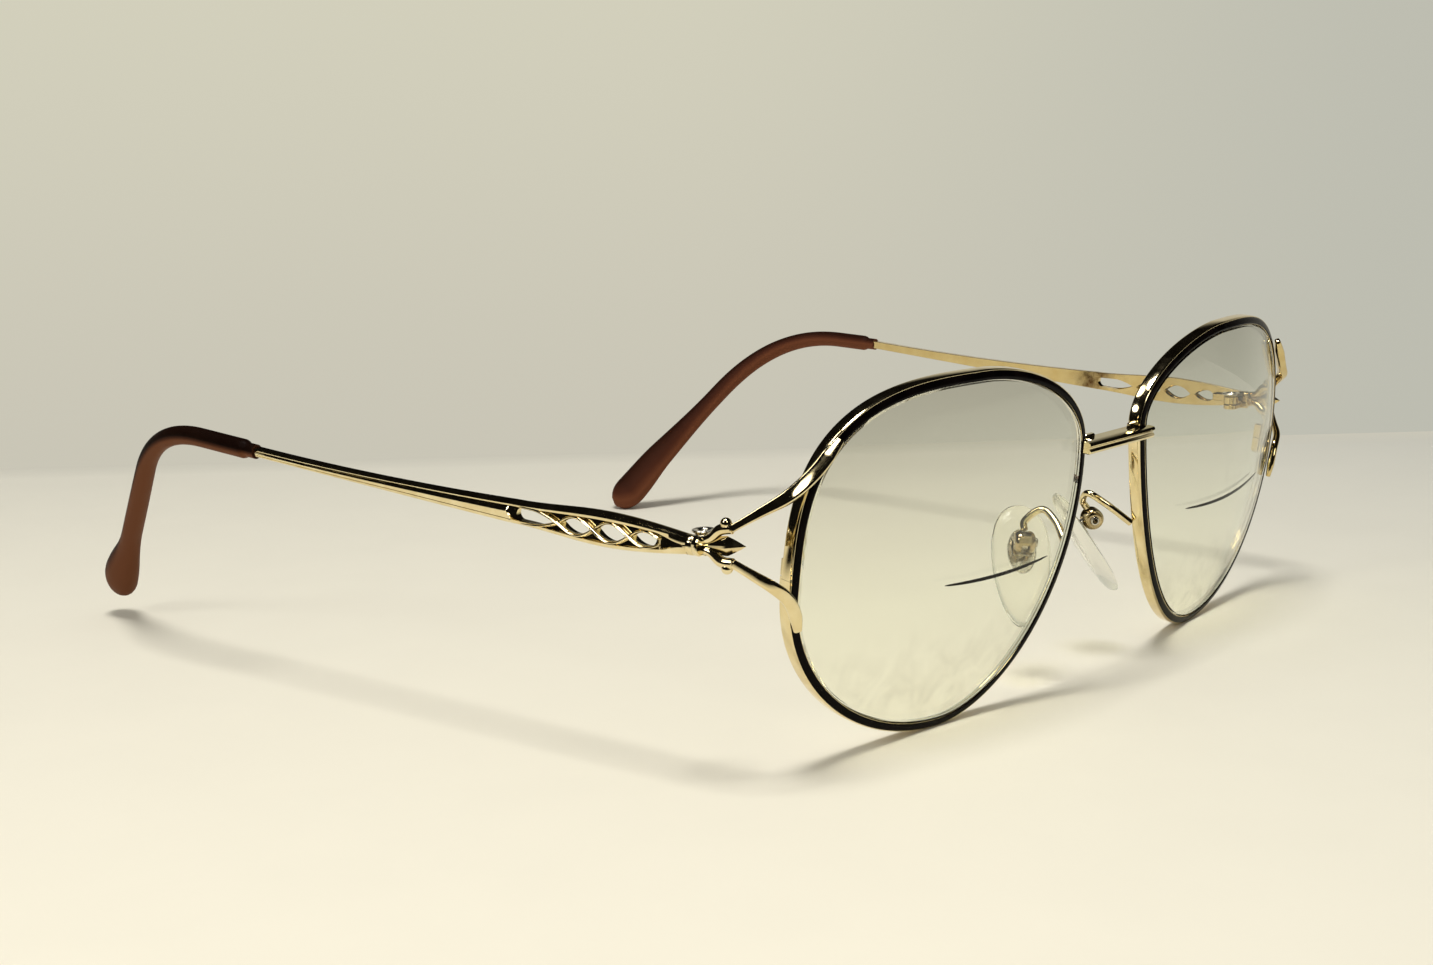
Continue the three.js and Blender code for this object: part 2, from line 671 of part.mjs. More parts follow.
// Hinge: two front barrels, one temple barrel and the screw, about an upright pin at the origin
const MIDDLE_HALF = MIDDLE_BARREL / 2;
const OUTER_START = MIDDLE_HALF + BARREL_GAP;
const OUTER_END = OUTER_START + OUTER_BARREL;

function hingeFront() {
  const wall = BAR_OFFSET - COLLAR_THICK / 2 - SOLDER_GAP;
  const plate = box(wall - LEAF_THICK, wall, -FRONT_LEAF_LENGTH, -LEAF_INSET, -OUTER_END, OUTER_END);
  const knuckles = [-1, 1].flatMap((side) => {
    const [low, high] = side > 0 ? [OUTER_START, OUTER_END] : [-OUTER_END, -OUTER_START];
    return [upright(BARREL_RADIUS, low, high), box(0, wall, -BARREL_RADIUS, -LEAF_INSET, low, high)];
  });
  const body = join(plate, ...knuckles);
  const room = upright(BARREL_RADIUS + KNUCKLE_ROOM, -OUTER_START, OUTER_START);
  return geometryOf(cut(body, upright(BARREL_BORE, -THROUGH, THROUGH), room));
}

function hingeRear() {
  const wall = BAR_OFFSET - BAR_THICK / 2 - SOLDER_GAP;
  const end = BARREL_RADIUS + REAR_LEAF_LENGTH;
  const plate = box(wall - LEAF_THICK, wall, BARREL_RADIUS, end, -MIDDLE_HALF, MIDDLE_HALF);
  const web = box(0, wall, LEAF_INSET, BARREL_RADIUS + LEAF_THICK, -MIDDLE_HALF, MIDDLE_HALF);
  const body = join(plate, web, upright(BARREL_RADIUS, -MIDDLE_HALF, MIDDLE_HALF));
  return geometryOf(cut(body, upright(BARREL_BORE, -THROUGH, THROUGH)));
}

function hingeScrew() {
  const seat = OUTER_END + PIN_CLEARANCE;
  return screw(HINGE_SCREW_RADIUS, HINGE_HEAD_RADIUS, HINGE_HEAD_HEIGHT, -OUTER_END, seat);
}

// Temple bar: one long loft whose outer face carries a pocket at the front and a groove behind it
const BAR_START = JOINT_GAP - JOINT_LEAD;
const BAR_TAPER = BAR_LENGTH - OPENWORK_END;

function barTall(y) {
  if (y < TALLEST_AT) {
    const swell = Math.sin((Math.PI / 2) * (Math.max(0, y) / TALLEST_AT));
    return lerp(NECK_TALL, OPENWORK_TALL, swell);
  }
  if (y < OPENWORK_END) {
    return lerp(OPENWORK_TALL, BAR_TALL, smooth(y, TALLEST_AT, OPENWORK_END));
  }
  const left = 1 - (y - OPENWORK_END) / BAR_TAPER;
  return lerp(BAR_END_TALL, BAR_TALL, left * left);
}

function barLevel(y) {
  const share = y / BAR_LENGTH;
  return BAR_RISE * share + BAR_BOW * share * share;
}

// How far the pocket has turned into the plain groove behind it, and how heavy the rails are
const grooveShare = (y) => smooth(y, OPENWORK_END, OPENWORK_END + GROOVE_RUN_IN);
const railShare = (y) => Math.max(barTall(y) / OPENWORK_TALL, THINNEST_RAIL_SHARE);

function pocketDepth(y) {
  if (y < OPENWORK_START) {
    const neck = NECK_GROOVE_DEPTH * smooth(y, 0, POCKET_RUN_IN);
    const opening = smooth(y, OPENWORK_START - POCKET_RUN_IN, OPENWORK_START);
    return Math.max(0.01, lerp(neck, POCKET_DEPTH, opening));
  }
  const closing = POCKET_DEPTH * lerp(1, GROOVE_DEPTH_SHARE, grooveShare(y));
  return lerp(closing, GROOVE_DEPTH_AT_TIP, Math.max(0, (y - OPENWORK_END) / BAR_TAPER));
}

// Lower and upper edge of the pocket, which starts as a wedge at the neck
function pocket(y) {
  const half = barTall(y) / 2;
  const high = half - TOP_RAIL * railShare(y);
  const foot = -half + BOTTOM_RAIL * railShare(y);
  const low = lerp(high, foot, lerp(1, GROOVE_TALL_SHARE, grooveShare(y)));
  const open = lerp(NECK_GROOVE_SHARE, 1, smooth(y, 0, OPENWORK_START));
  const wedge = ((1 - open) * (high - low)) / 2;
  return [low + wedge, high - wedge];
}

function barSection(y) {
  const half = barTall(y) / 2;
  const [low, high] = pocket(y);
  const inner = BAR_OFFSET - BAR_THICK / 2;
  const outer = BAR_OFFSET + BAR_THICK / 2;
  const floorTop = outer - pocketDepth(y);
  const floorFoot = outer - pocketDepth(y) * lerp(POCKET_SLANT, GROOVE_SLANT, grooveShare(y));
  const wall = Math.min(POCKET_WALL, (high - low) * 0.3);
  const chamfer = BAR_CHAMFER;
  const topBevel = TOP_RAIL * railShare(y) * TOP_BEVEL_SHARE;
  const points = [
    [inner, -half + chamfer],
    [inner, half - chamfer],
    [inner + chamfer, half],
    [outer - topBevel, half],
    [outer, half - topBevel],
    [outer, high],
    [floorTop, high - wall],
    [floorFoot, low + wall],
    [outer, low],
    [outer, -half + BAR_LOWER_BEVEL * 0.75],
    [outer - BAR_LOWER_BEVEL, -half],
    [inner + chamfer, -half],
  ];
  return points.map(([x, z]) => vec(x, y, barLevel(y) + z));
}

// Strand of the twist: it swings between the rails and passes over its partner in turn
function twistPhase(y) {
  if (y < LAST_CROSSING) {
    return (Math.PI * (y - LAST_CROSSING)) / CROSSING_PITCH;
  }
  const parting = (y - LAST_CROSSING) / (STRANDS_PART_SHARE * (OPENWORK_END - LAST_CROSSING));
  return (Math.PI / 2) * Math.min(1, parting);
}

function swing(y) {
  const [low, high] = pocket(y);
  const inset = lerp(STRAND_INSET.crossing, STRAND_INSET.rear, smooth(y, LAST_CROSSING, OPENWORK_END));
  return [(low + high) / 2, (high - low) / 2 - STRAND_RADIUS * inset];
}

class Strand extends THREE.Curve {
  constructor(turn) {
    super();
    this.turn = turn;
  }

  getPoint(t, target = new THREE.Vector3()) {
    const y = lerp(OPENWORK_START - STRAND_LEAD, OPENWORK_END + STRAND_TAIL, t);
    const phase = twistPhase(y) + this.turn;
    const [middle, reach] = swing(y);
    const x = BAR_OFFSET + BAR_THICK / 2 - STRAND_SINK + STRAND_TWIST * Math.cos(phase);
    return target.set(x, y, barLevel(y) + middle + reach * Math.sin(phase));
  }
}

function strand(turn) {
  return tube(new Strand(turn), vec(1, 0, 0), () => [STRAND_DEEP, STRAND_RADIUS], even(20), 6);
}

// Eye-shaped window between two crossings of the twist, cut through the floor of the pocket
function windowCut(from, to) {
  const edge = even(7, from, to).map((y) => {
    const [middle, reach] = swing(y);
    const [low, high] = pocket(y);
    const open = reach * Math.abs(Math.sin(twistPhase(y))) - STRAND_RADIUS * 0.3;
    return [y, barLevel(y) + middle, THREE.MathUtils.clamp(open, 0.05, (high - low) / 2)];
  });
  const top = edge.map(([y, z, open]) => new THREE.Vector2(y, z + open));
  const bottom = edge.map(([y, z, open]) => new THREE.Vector2(y, z - open)).reverse();
  const shape = new THREE.Shape([...top, ...bottom]);
  const block = new THREE.ExtrudeGeometry(shape, { depth: BAR_THICK * 2, bevelEnabled: false });
  const across = new THREE.Matrix4().makeBasis(vec(0, 1, 0), vec(0, 0, 1), vec(1, 0, 0));
  return block.applyMatrix4(across.setPosition(BAR_OFFSET - BAR_THICK, 0, 0));
}

function windows() {
  const cuts = [];
  let to = OPENWORK_END - WINDOW_END;
  for (let y = LAST_CROSSING; to > OPENWORK_START + 1; y -= CROSSING_PITCH) {
    cuts.push(windowCut(Math.max(y + CROSSING_HALF, OPENWORK_START), to));
    to = y - CROSSING_HALF;
  }
  return cuts;
}

// Curve of the ear end: straight on from the bar, then bent down to the ear
function tipCurve(side) {
  const start = vec(BAR_OFFSET, BAR_LENGTH, barLevel(BAR_LENGTH));
  const corner = start.clone().add(vec(TIP_FLARE[side], TIP_STRAIGHT[side], TIP_RISE[side]));
  const end = corner.clone().add(vec(-TIP_INSET[side], TIP_RUN[side], -TIP_DROP[side]));
  const back = corner.clone().sub(start).setLength(TIP_BEND[side]);
  const down = end.clone().sub(corner).setLength(TIP_BEND[side]);
  const path = new THREE.CurvePath();
  const bendStart = corner.clone().sub(back);
  const bendEnd = corner.clone().add(down);
  path.add(new THREE.LineCurve3(start, bendStart));
  path.add(new THREE.QuadraticBezierCurve3(bendStart, corner, bendEnd));
  path.add(new THREE.LineCurve3(bendEnd, end));
  return path;
}

function temple(side) {
  const plainFrom = OPENWORK_END + GROOVE_RUN_IN;
  const front = even(14, BAR_START, plainFrom);
  const rear = even(7, plainFrom, BAR_LENGTH).slice(1);
  const rings = [...front, ...rear].map(barSection);
  const cap = capOf(rings[12].map((p) => new THREE.Vector2(p.x, p.z)));
  const bar = cut(solid(skin(rings, cap)), ...windows());
  const twisted = bar.add(join(strand(0), strand(Math.PI)));
  const curve = tipCurve(side);
  const share = CORE_LENGTH / curve.getLength();
  const core = tube(curve, vec(1, 0, 0), () => [CORE_RADIUS, CORE_RADIUS], even(12, 0, share), 6);
  const root = box(
    BAR_OFFSET - CORE_RADIUS * 0.5,
    BAR_OFFSET + CORE_RADIUS * 0.5,
    BAR_LENGTH - CORE_ROOT,
    BAR_LENGTH + CORE_ROOT * 0.4,
    barLevel(BAR_LENGTH) - CORE_RADIUS * 0.5,
    barLevel(BAR_LENGTH) + CORE_RADIUS * 0.5,
  );
  return geometryOf(twisted.add(join(core, root)));
}

// Tip: moulded sleeve over the core wire, swelling to a paddle behind the ear
function tip(side) {
  const curve = tipCurve(side);
  const length = curve.getLength();
  const mouth = (2 * SOLDER_GAP) / length;
  const bend = (TIP_STRAIGHT[side] - TIP_BEND[side]) / length;
  const size = (s) => {
    const lip = lerp(TIP_LIP_SCALE, 1, smooth(s, mouth, mouth + TIP_LIP_SHARE));
    const leg = smooth(s, bend, TIP_PADDLE_SHARE);
    const wide = smooth(s, TIP_PADDLE_SHARE, TIP_BLUNT_SHARE);
    const deep = smooth(s, TIP_PADDLE_THICK_SHARE, TIP_BLUNT_SHARE);
    const tall = lerp(lerp(TIP_TALL, TIP_LEG_TALL, leg), TIP_PADDLE_TALL, wide);
    const thick = lerp(lerp(TIP_THICK, TIP_LEG_THICK, leg), TIP_PADDLE_THICK, deep);
    const ending = Math.max(0, s - TIP_BLUNT_SHARE) / (1 - TIP_BLUNT_SHARE);
    const blunt = Math.sqrt(Math.max(0.03, 1 - ending ** 2));
    return [(thick / 2) * lip * blunt, (tall / 2) * lip * blunt];
  };
  const sleeveFrom = mouth + 2 * TIP_LIP_SHARE;
  const rounding = even(3, TIP_BLUNT_SHARE, 1).slice(1);
  const stations = [mouth, mouth + TIP_LIP_SHARE, ...even(14, sleeveFrom, TIP_BLUNT_SHARE), ...rounding];
  const kick = (s) => TIP_KICK[side] * smooth(s, TIP_PADDLE_THICK_SHARE, TIP_BLUNT_SHARE);
  const sleeve = tube(curve, vec(1, 0, 0), size, stations, 12, kick);
  const radius = CORE_RADIUS + TIP_BORE_CLEARANCE;
  const share = (CORE_LENGTH + CORE_ROOM) / length;
  const bore = tube(curve, vec(1, 0, 0), () => [radius, radius], even(12, 0, share), 6);
  return geometryOf(cut(solid(sleeve), bore));
}

// Nose pad on its rocking screw: local X runs along the screw, Y to the nose and Z up the pad
const padMatrix = (() => {
  const place = vec(PAD_SCREW_OUT, PAD_SCREW_BACK, FRONT_HEIGHT + PAD_SCREW_LEVEL);
  const lean = Math.sin(rad(PAD_SPREAD_DEG));
  const up = vec(-lean * PAD_LEAN_INWARD, lean * PAD_LEAN_BACK, PAD_UPRIGHT).normalize();
  const level = vec(Math.cos(rad(PAD_YAW_DEG)), Math.sin(rad(PAD_YAW_DEG)), 0);
  const across = level.addScaledVector(up, -level.dot(up)).normalize();
  const inward = up.clone().cross(across);
  return new THREE.Matrix4().makeBasis(across, inward, up).setPosition(place);
})();

function padRing(scale, depth, count = PAD_SIDES) {
  return Array.from({ length: count }, (_, i) => {
    const turn = (2 * Math.PI * i) / count;
    const z = (PAD_LENGTH / 2) * Math.sin(turn);
    const belly = 1 + PAD_BELLY_SHARE * Math.sin(turn);
    const x = (PAD_WIDTH / 2) * Math.cos(turn) * belly * (1 - 0.1 * Math.abs(Math.cos(turn)));
    return vec(x * scale, PAD_STANDOFF + depth, z * scale - PAD_BELOW_SCREW);
  });
}

function oval(length, width, back, front) {
  const shape = new THREE.Shape();
  shape.absellipse(0, 0, width / 2, length / 2, 0, 2 * Math.PI);
  const depth = front - back;
  const plate = new THREE.ExtrudeGeometry(shape, { depth, bevelEnabled: false, curveSegments: 8 });
  return plate.rotateX(Math.PI / 2).translate(0, front, -INSERT_DROP);
}

function nosePad() {
  const half = PAD_THICK / 2;
  const rings = [
    padRing(0.8, half),
    padRing(0.95, half * 0.75),
    padRing(1, half * 0.1),
    padRing(0.95, -half * 0.75),
    padRing(0.84, -half),
  ];
  const body = solid(skin(rings, fan(PAD_SIDES)));
  const seat = INSERT_THICK + LENS_CLEARANCE;
  const back = PAD_STANDOFF - PAD_THICK;
  const floor = PAD_STANDOFF - half + seat;
  const recess = oval(INSERT_LENGTH + INSERT_ROOM, INSERT_WIDTH + INSERT_ROOM, back, floor);
  return geometryOf(cut(body, recess));
}

function padInsert() {
  const back = PAD_STANDOFF - PAD_THICK / 2;
  const root = back + INSERT_THICK / 2;
  const plate = oval(INSERT_LENGTH, INSERT_WIDTH, back, back + INSERT_THICK);
  const foot = box(-BOX_WIDTH / 2, BOX_WIDTH / 2, BOX_RADIUS + FOOT_GAP, root, -FOOT_DOWN, FOOT_UP);
  const lug = upright(LUG_RADIUS, -LUG_THICK / 2, LUG_THICK / 2).rotateY(Math.PI / 2);
  const stem = box(-LUG_THICK / 2, LUG_THICK / 2, 0, root, -LUG_RADIUS * 0.8, LUG_RADIUS * 0.8);
  const bore = upright(PAD_SCREW_RADIUS + PIN_CLEARANCE, -THROUGH, THROUGH).rotateY(Math.PI / 2);
  return geometryOf(cut(join(plate, foot, lug, stem), bore));
}

function padBox() {
  const half = BOX_WIDTH / 2;
  const barrel = upright(BOX_RADIUS, -half, half, 16).rotateY(Math.PI / 2);
  const gap = BOX_SLOT / 2;
  const slot = box(-gap, gap, -LUG_RADIUS - KNUCKLE_ROOM, BOX_RADIUS * 2, -THROUGH, THROUGH);
  const bore = upright(PAD_SCREW_RADIUS + PIN_CLEARANCE, -THROUGH, THROUGH).rotateY(Math.PI / 2);
  return geometryOf(cut(solid(barrel), slot, bore));
}

function padScrew() {
  const half = BOX_WIDTH / 2;
  const body = screw(PAD_SCREW_RADIUS, PAD_HEAD_RADIUS, PAD_HEAD_HEIGHT, -half, half + PIN_CLEARANCE);
  return body.rotateY(-Math.PI / 2);
}

// Wire from the rim's nasal wall up and over to the pad's box
function padArm() {
  const length = lengthAtLevel(PAD_ARM_LEVEL, false);
  const root = rimPoint(length, RIM_FACE / 2 + 0.8 * PAD_ARM_RADIUS + SOLDER_GAP, RIM_BACK - PAD_ARM_RADIUS);
  const screwAt = vec(0, 0, 0).applyMatrix4(padMatrix);
  const shoulder = screwAt.clone().add(vec(-PAD_ARM_INWARD * 0.8, -PAD_ARM_FORWARD, PAD_ARM_RISE * 0.72));
  const top = screwAt.clone().add(vec(-PAD_ARM_INWARD, -PAD_ARM_FORWARD * 0.3, PAD_ARM_RISE));
  const entry = vec(0, -PAD_ARM_OFFSET, BOX_RADIUS + PAD_ARM_ENTRY).applyMatrix4(padMatrix);
  const mouth = vec(0, -PAD_ARM_OFFSET, BOX_RADIUS + 1.5 * SOLDER_GAP).applyMatrix4(padMatrix);
  const curve = new THREE.CatmullRomCurve3([root, shoulder, top, entry, mouth]);
  return tube(curve, vec(1, 0, 0), () => [PAD_ARM_RADIUS, PAD_ARM_RADIUS], even(15), 8);
}

// Assembly
const spectacles = new THREE.Group();
spectacles.add(piece('bridge', bridge(), gold()));

for (const side of SIDES) {
  const half = new THREE.Group();
  half.scale.x = FLIP[side];
  spectacles.add(half);

  const eye = new THREE.Group();
  eye.applyMatrix4(eyeMatrix);
  half.add(eye);
  eye.add(piece(`rim_${side}`, rim(), enamel()));
  eye.add(piece(`lens_${side}`, lens(), glass()));
  const gap = SPLIT_GAP / 2;
  eye.add(piece(`closing_block_upper_${side}`, closingBlock(gap, gap + BLOCK_HEIGHT), gold()));
  eye.add(piece(`closing_block_lower_${side}`, closingBlock(-gap - BLOCK_HEIGHT, -gap), gold()));
  eye.add(piece(`closing_screw_${side}`, closingScrew(), steel()));

  half.add(piece(`endpiece_${side}`, endpiece(), gold()));
  half.add(piece(`upper_arm_${side}`, upperArm(), gold()));
  half.add(piece(`lower_arm_${side}`, lowerArm(), gold()));

  const hinge = new THREE.Group();
  hinge.position.copy(HINGE);
  half.add(hinge);
  hinge.add(piece(`hinge_front_${side}`, hingeFront(), gold()));
  hinge.add(piece(`hinge_screw_${side}`, hingeScrew(), steel()));

  const swingArm = new THREE.Group();
  swingArm.rotation.z = -rad(BAR_SPLAY_DEG);
  hinge.add(swingArm);
  swingArm.add(piece(`hinge_rear_${side}`, hingeRear(), gold()));
  swingArm.add(piece(`temple_${side}`, temple(side), gold()));
  swingArm.add(piece(`temple_tip_${side}`, tip(side), acetate()));

  half.add(piece(`pad_arm_${side}`, padArm(), gold()));
  const pad = new THREE.Group();
  pad.applyMatrix4(padMatrix);
  half.add(pad);
  pad.add(piece(`pad_box_${side}`, padBox(), gold()));
  pad.add(piece(`pad_screw_${side}`, padScrew(), steel()));
  pad.add(piece(`nose_pad_${side}`, nosePad(), clear()));
  pad.add(piece(`pad_insert_${side}`, padInsert(), steel()));
}

export default spectacles;
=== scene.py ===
# Metal spectacles with openwork temples: fine visual pieces, finishes, floor, light and camera.
# Shapes are worked out in millimetres for the wearer's left (+X) and mirrored for the right.
from bisect import bisect_left
from math import copysign, cos, pi, radians, sin, sqrt, tan

import bmesh
import bpy
from mathutils import Matrix, Vector


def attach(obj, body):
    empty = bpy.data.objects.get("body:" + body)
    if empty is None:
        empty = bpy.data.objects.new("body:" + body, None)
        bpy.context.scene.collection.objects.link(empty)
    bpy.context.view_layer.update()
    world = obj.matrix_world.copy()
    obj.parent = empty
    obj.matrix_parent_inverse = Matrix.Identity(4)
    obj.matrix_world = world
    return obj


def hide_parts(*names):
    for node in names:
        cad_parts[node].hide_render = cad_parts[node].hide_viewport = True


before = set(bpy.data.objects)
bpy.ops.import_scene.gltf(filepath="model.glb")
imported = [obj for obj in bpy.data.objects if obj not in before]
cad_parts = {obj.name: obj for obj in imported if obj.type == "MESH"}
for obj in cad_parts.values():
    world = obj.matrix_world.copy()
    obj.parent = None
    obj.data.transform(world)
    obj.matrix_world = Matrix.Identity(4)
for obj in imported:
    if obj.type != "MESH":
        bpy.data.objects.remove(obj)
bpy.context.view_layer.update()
MM = 0.001

# Eye outline, boxed on the lens groove
EYE_WIDTH = 54
EYE_HEIGHT = 47.1
NOSE_GAP = 16.2
CROWN_SHIFT = -3.2
FOOT_SHIFT = -1
NASAL_RISE = 11.8
TEMPORAL_RISE = -1
CROWN_OUTER_FULLNESS = 2.87
CROWN_INNER_FULLNESS = 1.84
FOOT_INNER_FULLNESS = 1.89
FOOT_OUTER_FULLNESS = 1.98
BASE_CURVE_RADIUS = 107.6
FACE_WRAP_DEG = 6.7
FRONT_TILT_DEG = 7.5
EYE_CENTRE = (EYE_WIDTH + NOSE_GAP) / 2

# Rim wire and lens
RIM_FACE = 1.4
RIM_PROUD = 0.95
RIM_DEPTH = 2.1
RIM_ROUND = 0.45
RIM_FRONT = -RIM_PROUD
RIM_BACK = RIM_FRONT + RIM_DEPTH
RIM_MIDDLE = (RIM_FRONT + RIM_BACK) / 2
GROOVE_DEPTH = 0.55
GROOVE_WIDTH = 0.8
GROOVE_FLOOR = 0.24
ENAMEL_SINK = 0.04
LENS_THICK = 1.8
LENS_CLEARANCE = 0.12
LENS_SETBACK = 0.18
LENS_BEVEL = 0.5
SPLIT_AT = 1.6
SPLIT_GAP = 0.04
LEDGE_LEVEL = -3.3
LEDGE_CURVE = -0.003
LEDGE_TALL = 0.54
LEDGE_PROUD = 0.1
LEDGE_FROM = {"left": -13.9, "right": -19.0}
LEDGE_TO = {"left": 15.3, "right": 3.4}

# Bridge
BRIDGE_LEVEL = 11
BRIDGE_TALL = 1.7
BRIDGE_DEEP = 1.3
BRIDGE_GROOVE = 0.3
BRIDGE_OVERLAP = 1.4
BRIDGE_LUG_LENGTH = 2.2
BRIDGE_LUG_DEEP = 0.7
BRIDGE_LUG_RISE = 0.5
BRIDGE_BACK_DEEP = 1.3
BRIDGE_BACK_ROOT = 0.2
BRIDGE_CLEAR = 0.25

# Hinge, measured from the outer edge of the eye
HINGE_REACH = 4.8
HINGE_BACK = 15.6
HINGE_LEVEL = 6.35
BARREL_RADIUS = 1.2
BARREL_BORE = 0.56
MIDDLE_HALF = 0.65
BARREL_GAP = 0.06
OUTER_BARREL = 0.75
OUTER_START = MIDDLE_HALF + BARREL_GAP
OUTER_END = OUTER_START + OUTER_BARREL
LEAF_THICK = 0.7
FRONT_LEAF_LENGTH = 2.2
REAR_LEAF_LENGTH = 3.4
JOINT_LEAD = 0.55
JOINT_GAP = 0.2
HINGE_SCREW_RADIUS = 0.5
HINGE_HEAD_RADIUS = 1.5
HINGE_HEAD_HEIGHT = 0.3
HINGE_HEAD_SUNK = 0.5
HINGE_SEAT = OUTER_END - HINGE_HEAD_SUNK

# Screw heads, as shares of their radius and height
DOMED_HEAD = (0.94, 0), (1, 0.15), (1, 0.5), (0.9, 0.82), (0.65, 0.97), (0.3, 1)
RINGED_HEAD = (0.95, 0), (1, 0.2), (1, 0.7333), (0.95, 1), (0.58, 1), (0.5, 0.7), (0.42, 0.1), (0.1, 0.1)

# Tulip endpiece with its two arms
COLLAR_LENGTH = 1.9
COLLAR_TALL = 2.4
COLLAR_THICK = 2
TULIP_LENGTH = 7.7
TULIP_LEAN_DEG = 13
TULIP_RISE_DEG = 3
SPIKE_HALF_WIDTH = 1.25
SPIKE_RIDGE = 0.85
KNOB_RADIUS = 0.74
KNOB_AT = 5.1
KNOB_RISE = 2.75
LEAF_ROOT_RADIUS = 0.42
LEAF_RADIUS = 0.7
LEAF_ROOT_RISE = 0.35
ARM_ROOT_AT = 6
ARM_ROOT_RISE = 2.18
ARM_SUNK = 0.35
ARM_FLATNESS = 0.72
ARM_FLARE = 3.7
ARM_TAPER_SHARE = 0.85
ARMS = {
    "upper": {
        "way": 1, "thin": 0.46, "thick": 0.9, "level": 10.3, "lap": 8.5, "rest": 0.75, "square": 0.45,
        "root_facing": Vector((0.76, -0.5, 0.42)), "end_facing": Vector((0.5, -0.75, 0.42)),
    },
    "lower": {
        "way": -1, "thin": 0.56, "thick": 0.82, "level": 0.5, "lap": -6.2, "rest": 0.25, "square": 0.62,
        "root_facing": Vector((0.5, -0.85, -0.15)), "end_facing": Vector((0.35, -0.9, -0.1)),
    },
}

# Temple bar and its openwork
BAR_LENGTH = 81.8
BAR_OFFSET = 3.3
BAR_THICK = 1.4
BAR_SPLAY_DEG = 2.7
BAR_RISE = 1.5
BAR_BOW = 2.4
NECK_TALL = 2.4
OPENWORK_TALL = 4.5
TALLEST_AT = 13.5
BAR_TALL = 3.1
BAR_END_TALL = 1.4
OPENWORK_START = 4.7
OPENWORK_END = 29
LAST_CROSSING = 21
CROSSING_PITCH = 6
TOP_RAIL = 1
BOTTOM_RAIL = 0.55
POCKET_DEPTH = 0.8
POCKET_WALL = 0.14
POCKET_RUN_IN = 0.9
POCKET_SLANT = 0.5
NECK_GROOVE_DEPTH = 0.35
NECK_GROOVE_SHARE = 0.2
THINNEST_RAIL_SHARE = 0.45
TOP_BEVEL_SHARE = 0.62
GROOVE_RUN_IN = 1.2
GROOVE_DEPTH_SHARE = 0.55
GROOVE_DEPTH_AT_TIP = 0.12
GROOVE_TALL_SHARE = 0.4
GROOVE_SLANT = 0.3
HAIRLINE_DEPTH = 0.09
RAIL_LEAN = 0.2
STRAND_RADIUS = 0.27
STRAND_DEEP = 0.44
STRAND_SINK = 0.34
STRAND_TWIST = 0.13
CROSSING_HALF = 0.4
WINDOW_END = 0.3
WINDOW_ROUND = 0.9
STRANDS_PART_SHARE = 0.55
STRAND_INSET = {"crossing": 0.8, "rear": -0.35}
STRAND_REAR_SINK = 0.25

# Temple tip, with its own bend for each ear
TIP_STRAIGHT = {"left": 26.6, "right": 23.7}
TIP_FLARE = {"left": -0.4, "right": 0.7}
TIP_RISE = {"left": 1.0, "right": 2.05}
TIP_RUN = {"left": 17.7, "right": 30.0}
TIP_INSET = {"left": 31.7, "right": 11.3}
TIP_DROP = {"left": 33.77, "right": 31.85}
TIP_BEND = {"left": 17.0, "right": 11.2}
TIP_TALL = 2.9
TIP_THICK = 2.65
TIP_LEG_TALL = {"left": 3.6, "right": 3.1}
TIP_LEG_THICK = 3.35
TIP_PADDLE_TALL = 6.9
TIP_PADDLE_THICK = 4.8
TIP_PADDLE_SHARE = {"left": 0.58, "right": 0.75}
TIP_PADDLE_THICK_SHARE = 0.8
TIP_KICK = {"left": 1, "right": 0.3}
TIP_BLUNT_SHARE = 0.94
TIP_LIP_SCALE = 0.75
TIP_LIP_SHARE = 0.04
CORE_RADIUS = 0.6
CORE_LENGTH = 52

# Nose pads
PAD_LENGTH = 18.4
PAD_WIDTH = 8.9
PAD_THICK = 1.9
PAD_SWELL = 1.5
PAD_BELOW_SCREW = 2.5
PAD_STANDOFF = 2.85
PAD_SCREW_OUT = 9.5
PAD_SCREW_BACK = 7.8
PAD_SCREW_LEVEL = -3.3
PAD_YAW_DEG = 44.6
PAD_SPREAD_DEG = 32
INSERT_LENGTH = 6.6
INSERT_WIDTH = 3.9
INSERT_THICK = 0.5
INSERT_LEVEL = -0.6
FOOT_GAP = 0.12
FOOT_UP = 1.2
FOOT_DOWN = 1.4
BOX_RADIUS = 1.6
BOX_WIDTH = 2.8
BOX_SLOT = 1.1
LUG_THICK = 0.9
LUG_RADIUS = 1.05
PAD_SCREW_RADIUS = 0.4
PAD_HEAD_RADIUS = PAD_SCREW_RADIUS * 1.7
PAD_HEAD_HEIGHT = 0.35
PAD_HOLLOW_SHARE = 0.62
PAD_HOLLOW_DEPTH = 1.6
RECESS_GAP = 0.12
PAD_ARM_RADIUS = 0.52
PAD_ARM_LEVEL = -3
PAD_ARM_RISE = 4.3
PAD_ARM_INWARD = 2.8
PAD_ARM_FORWARD = 3.4
SOLDER_GAP = 0.06
PIN_CLEARANCE = 0.06

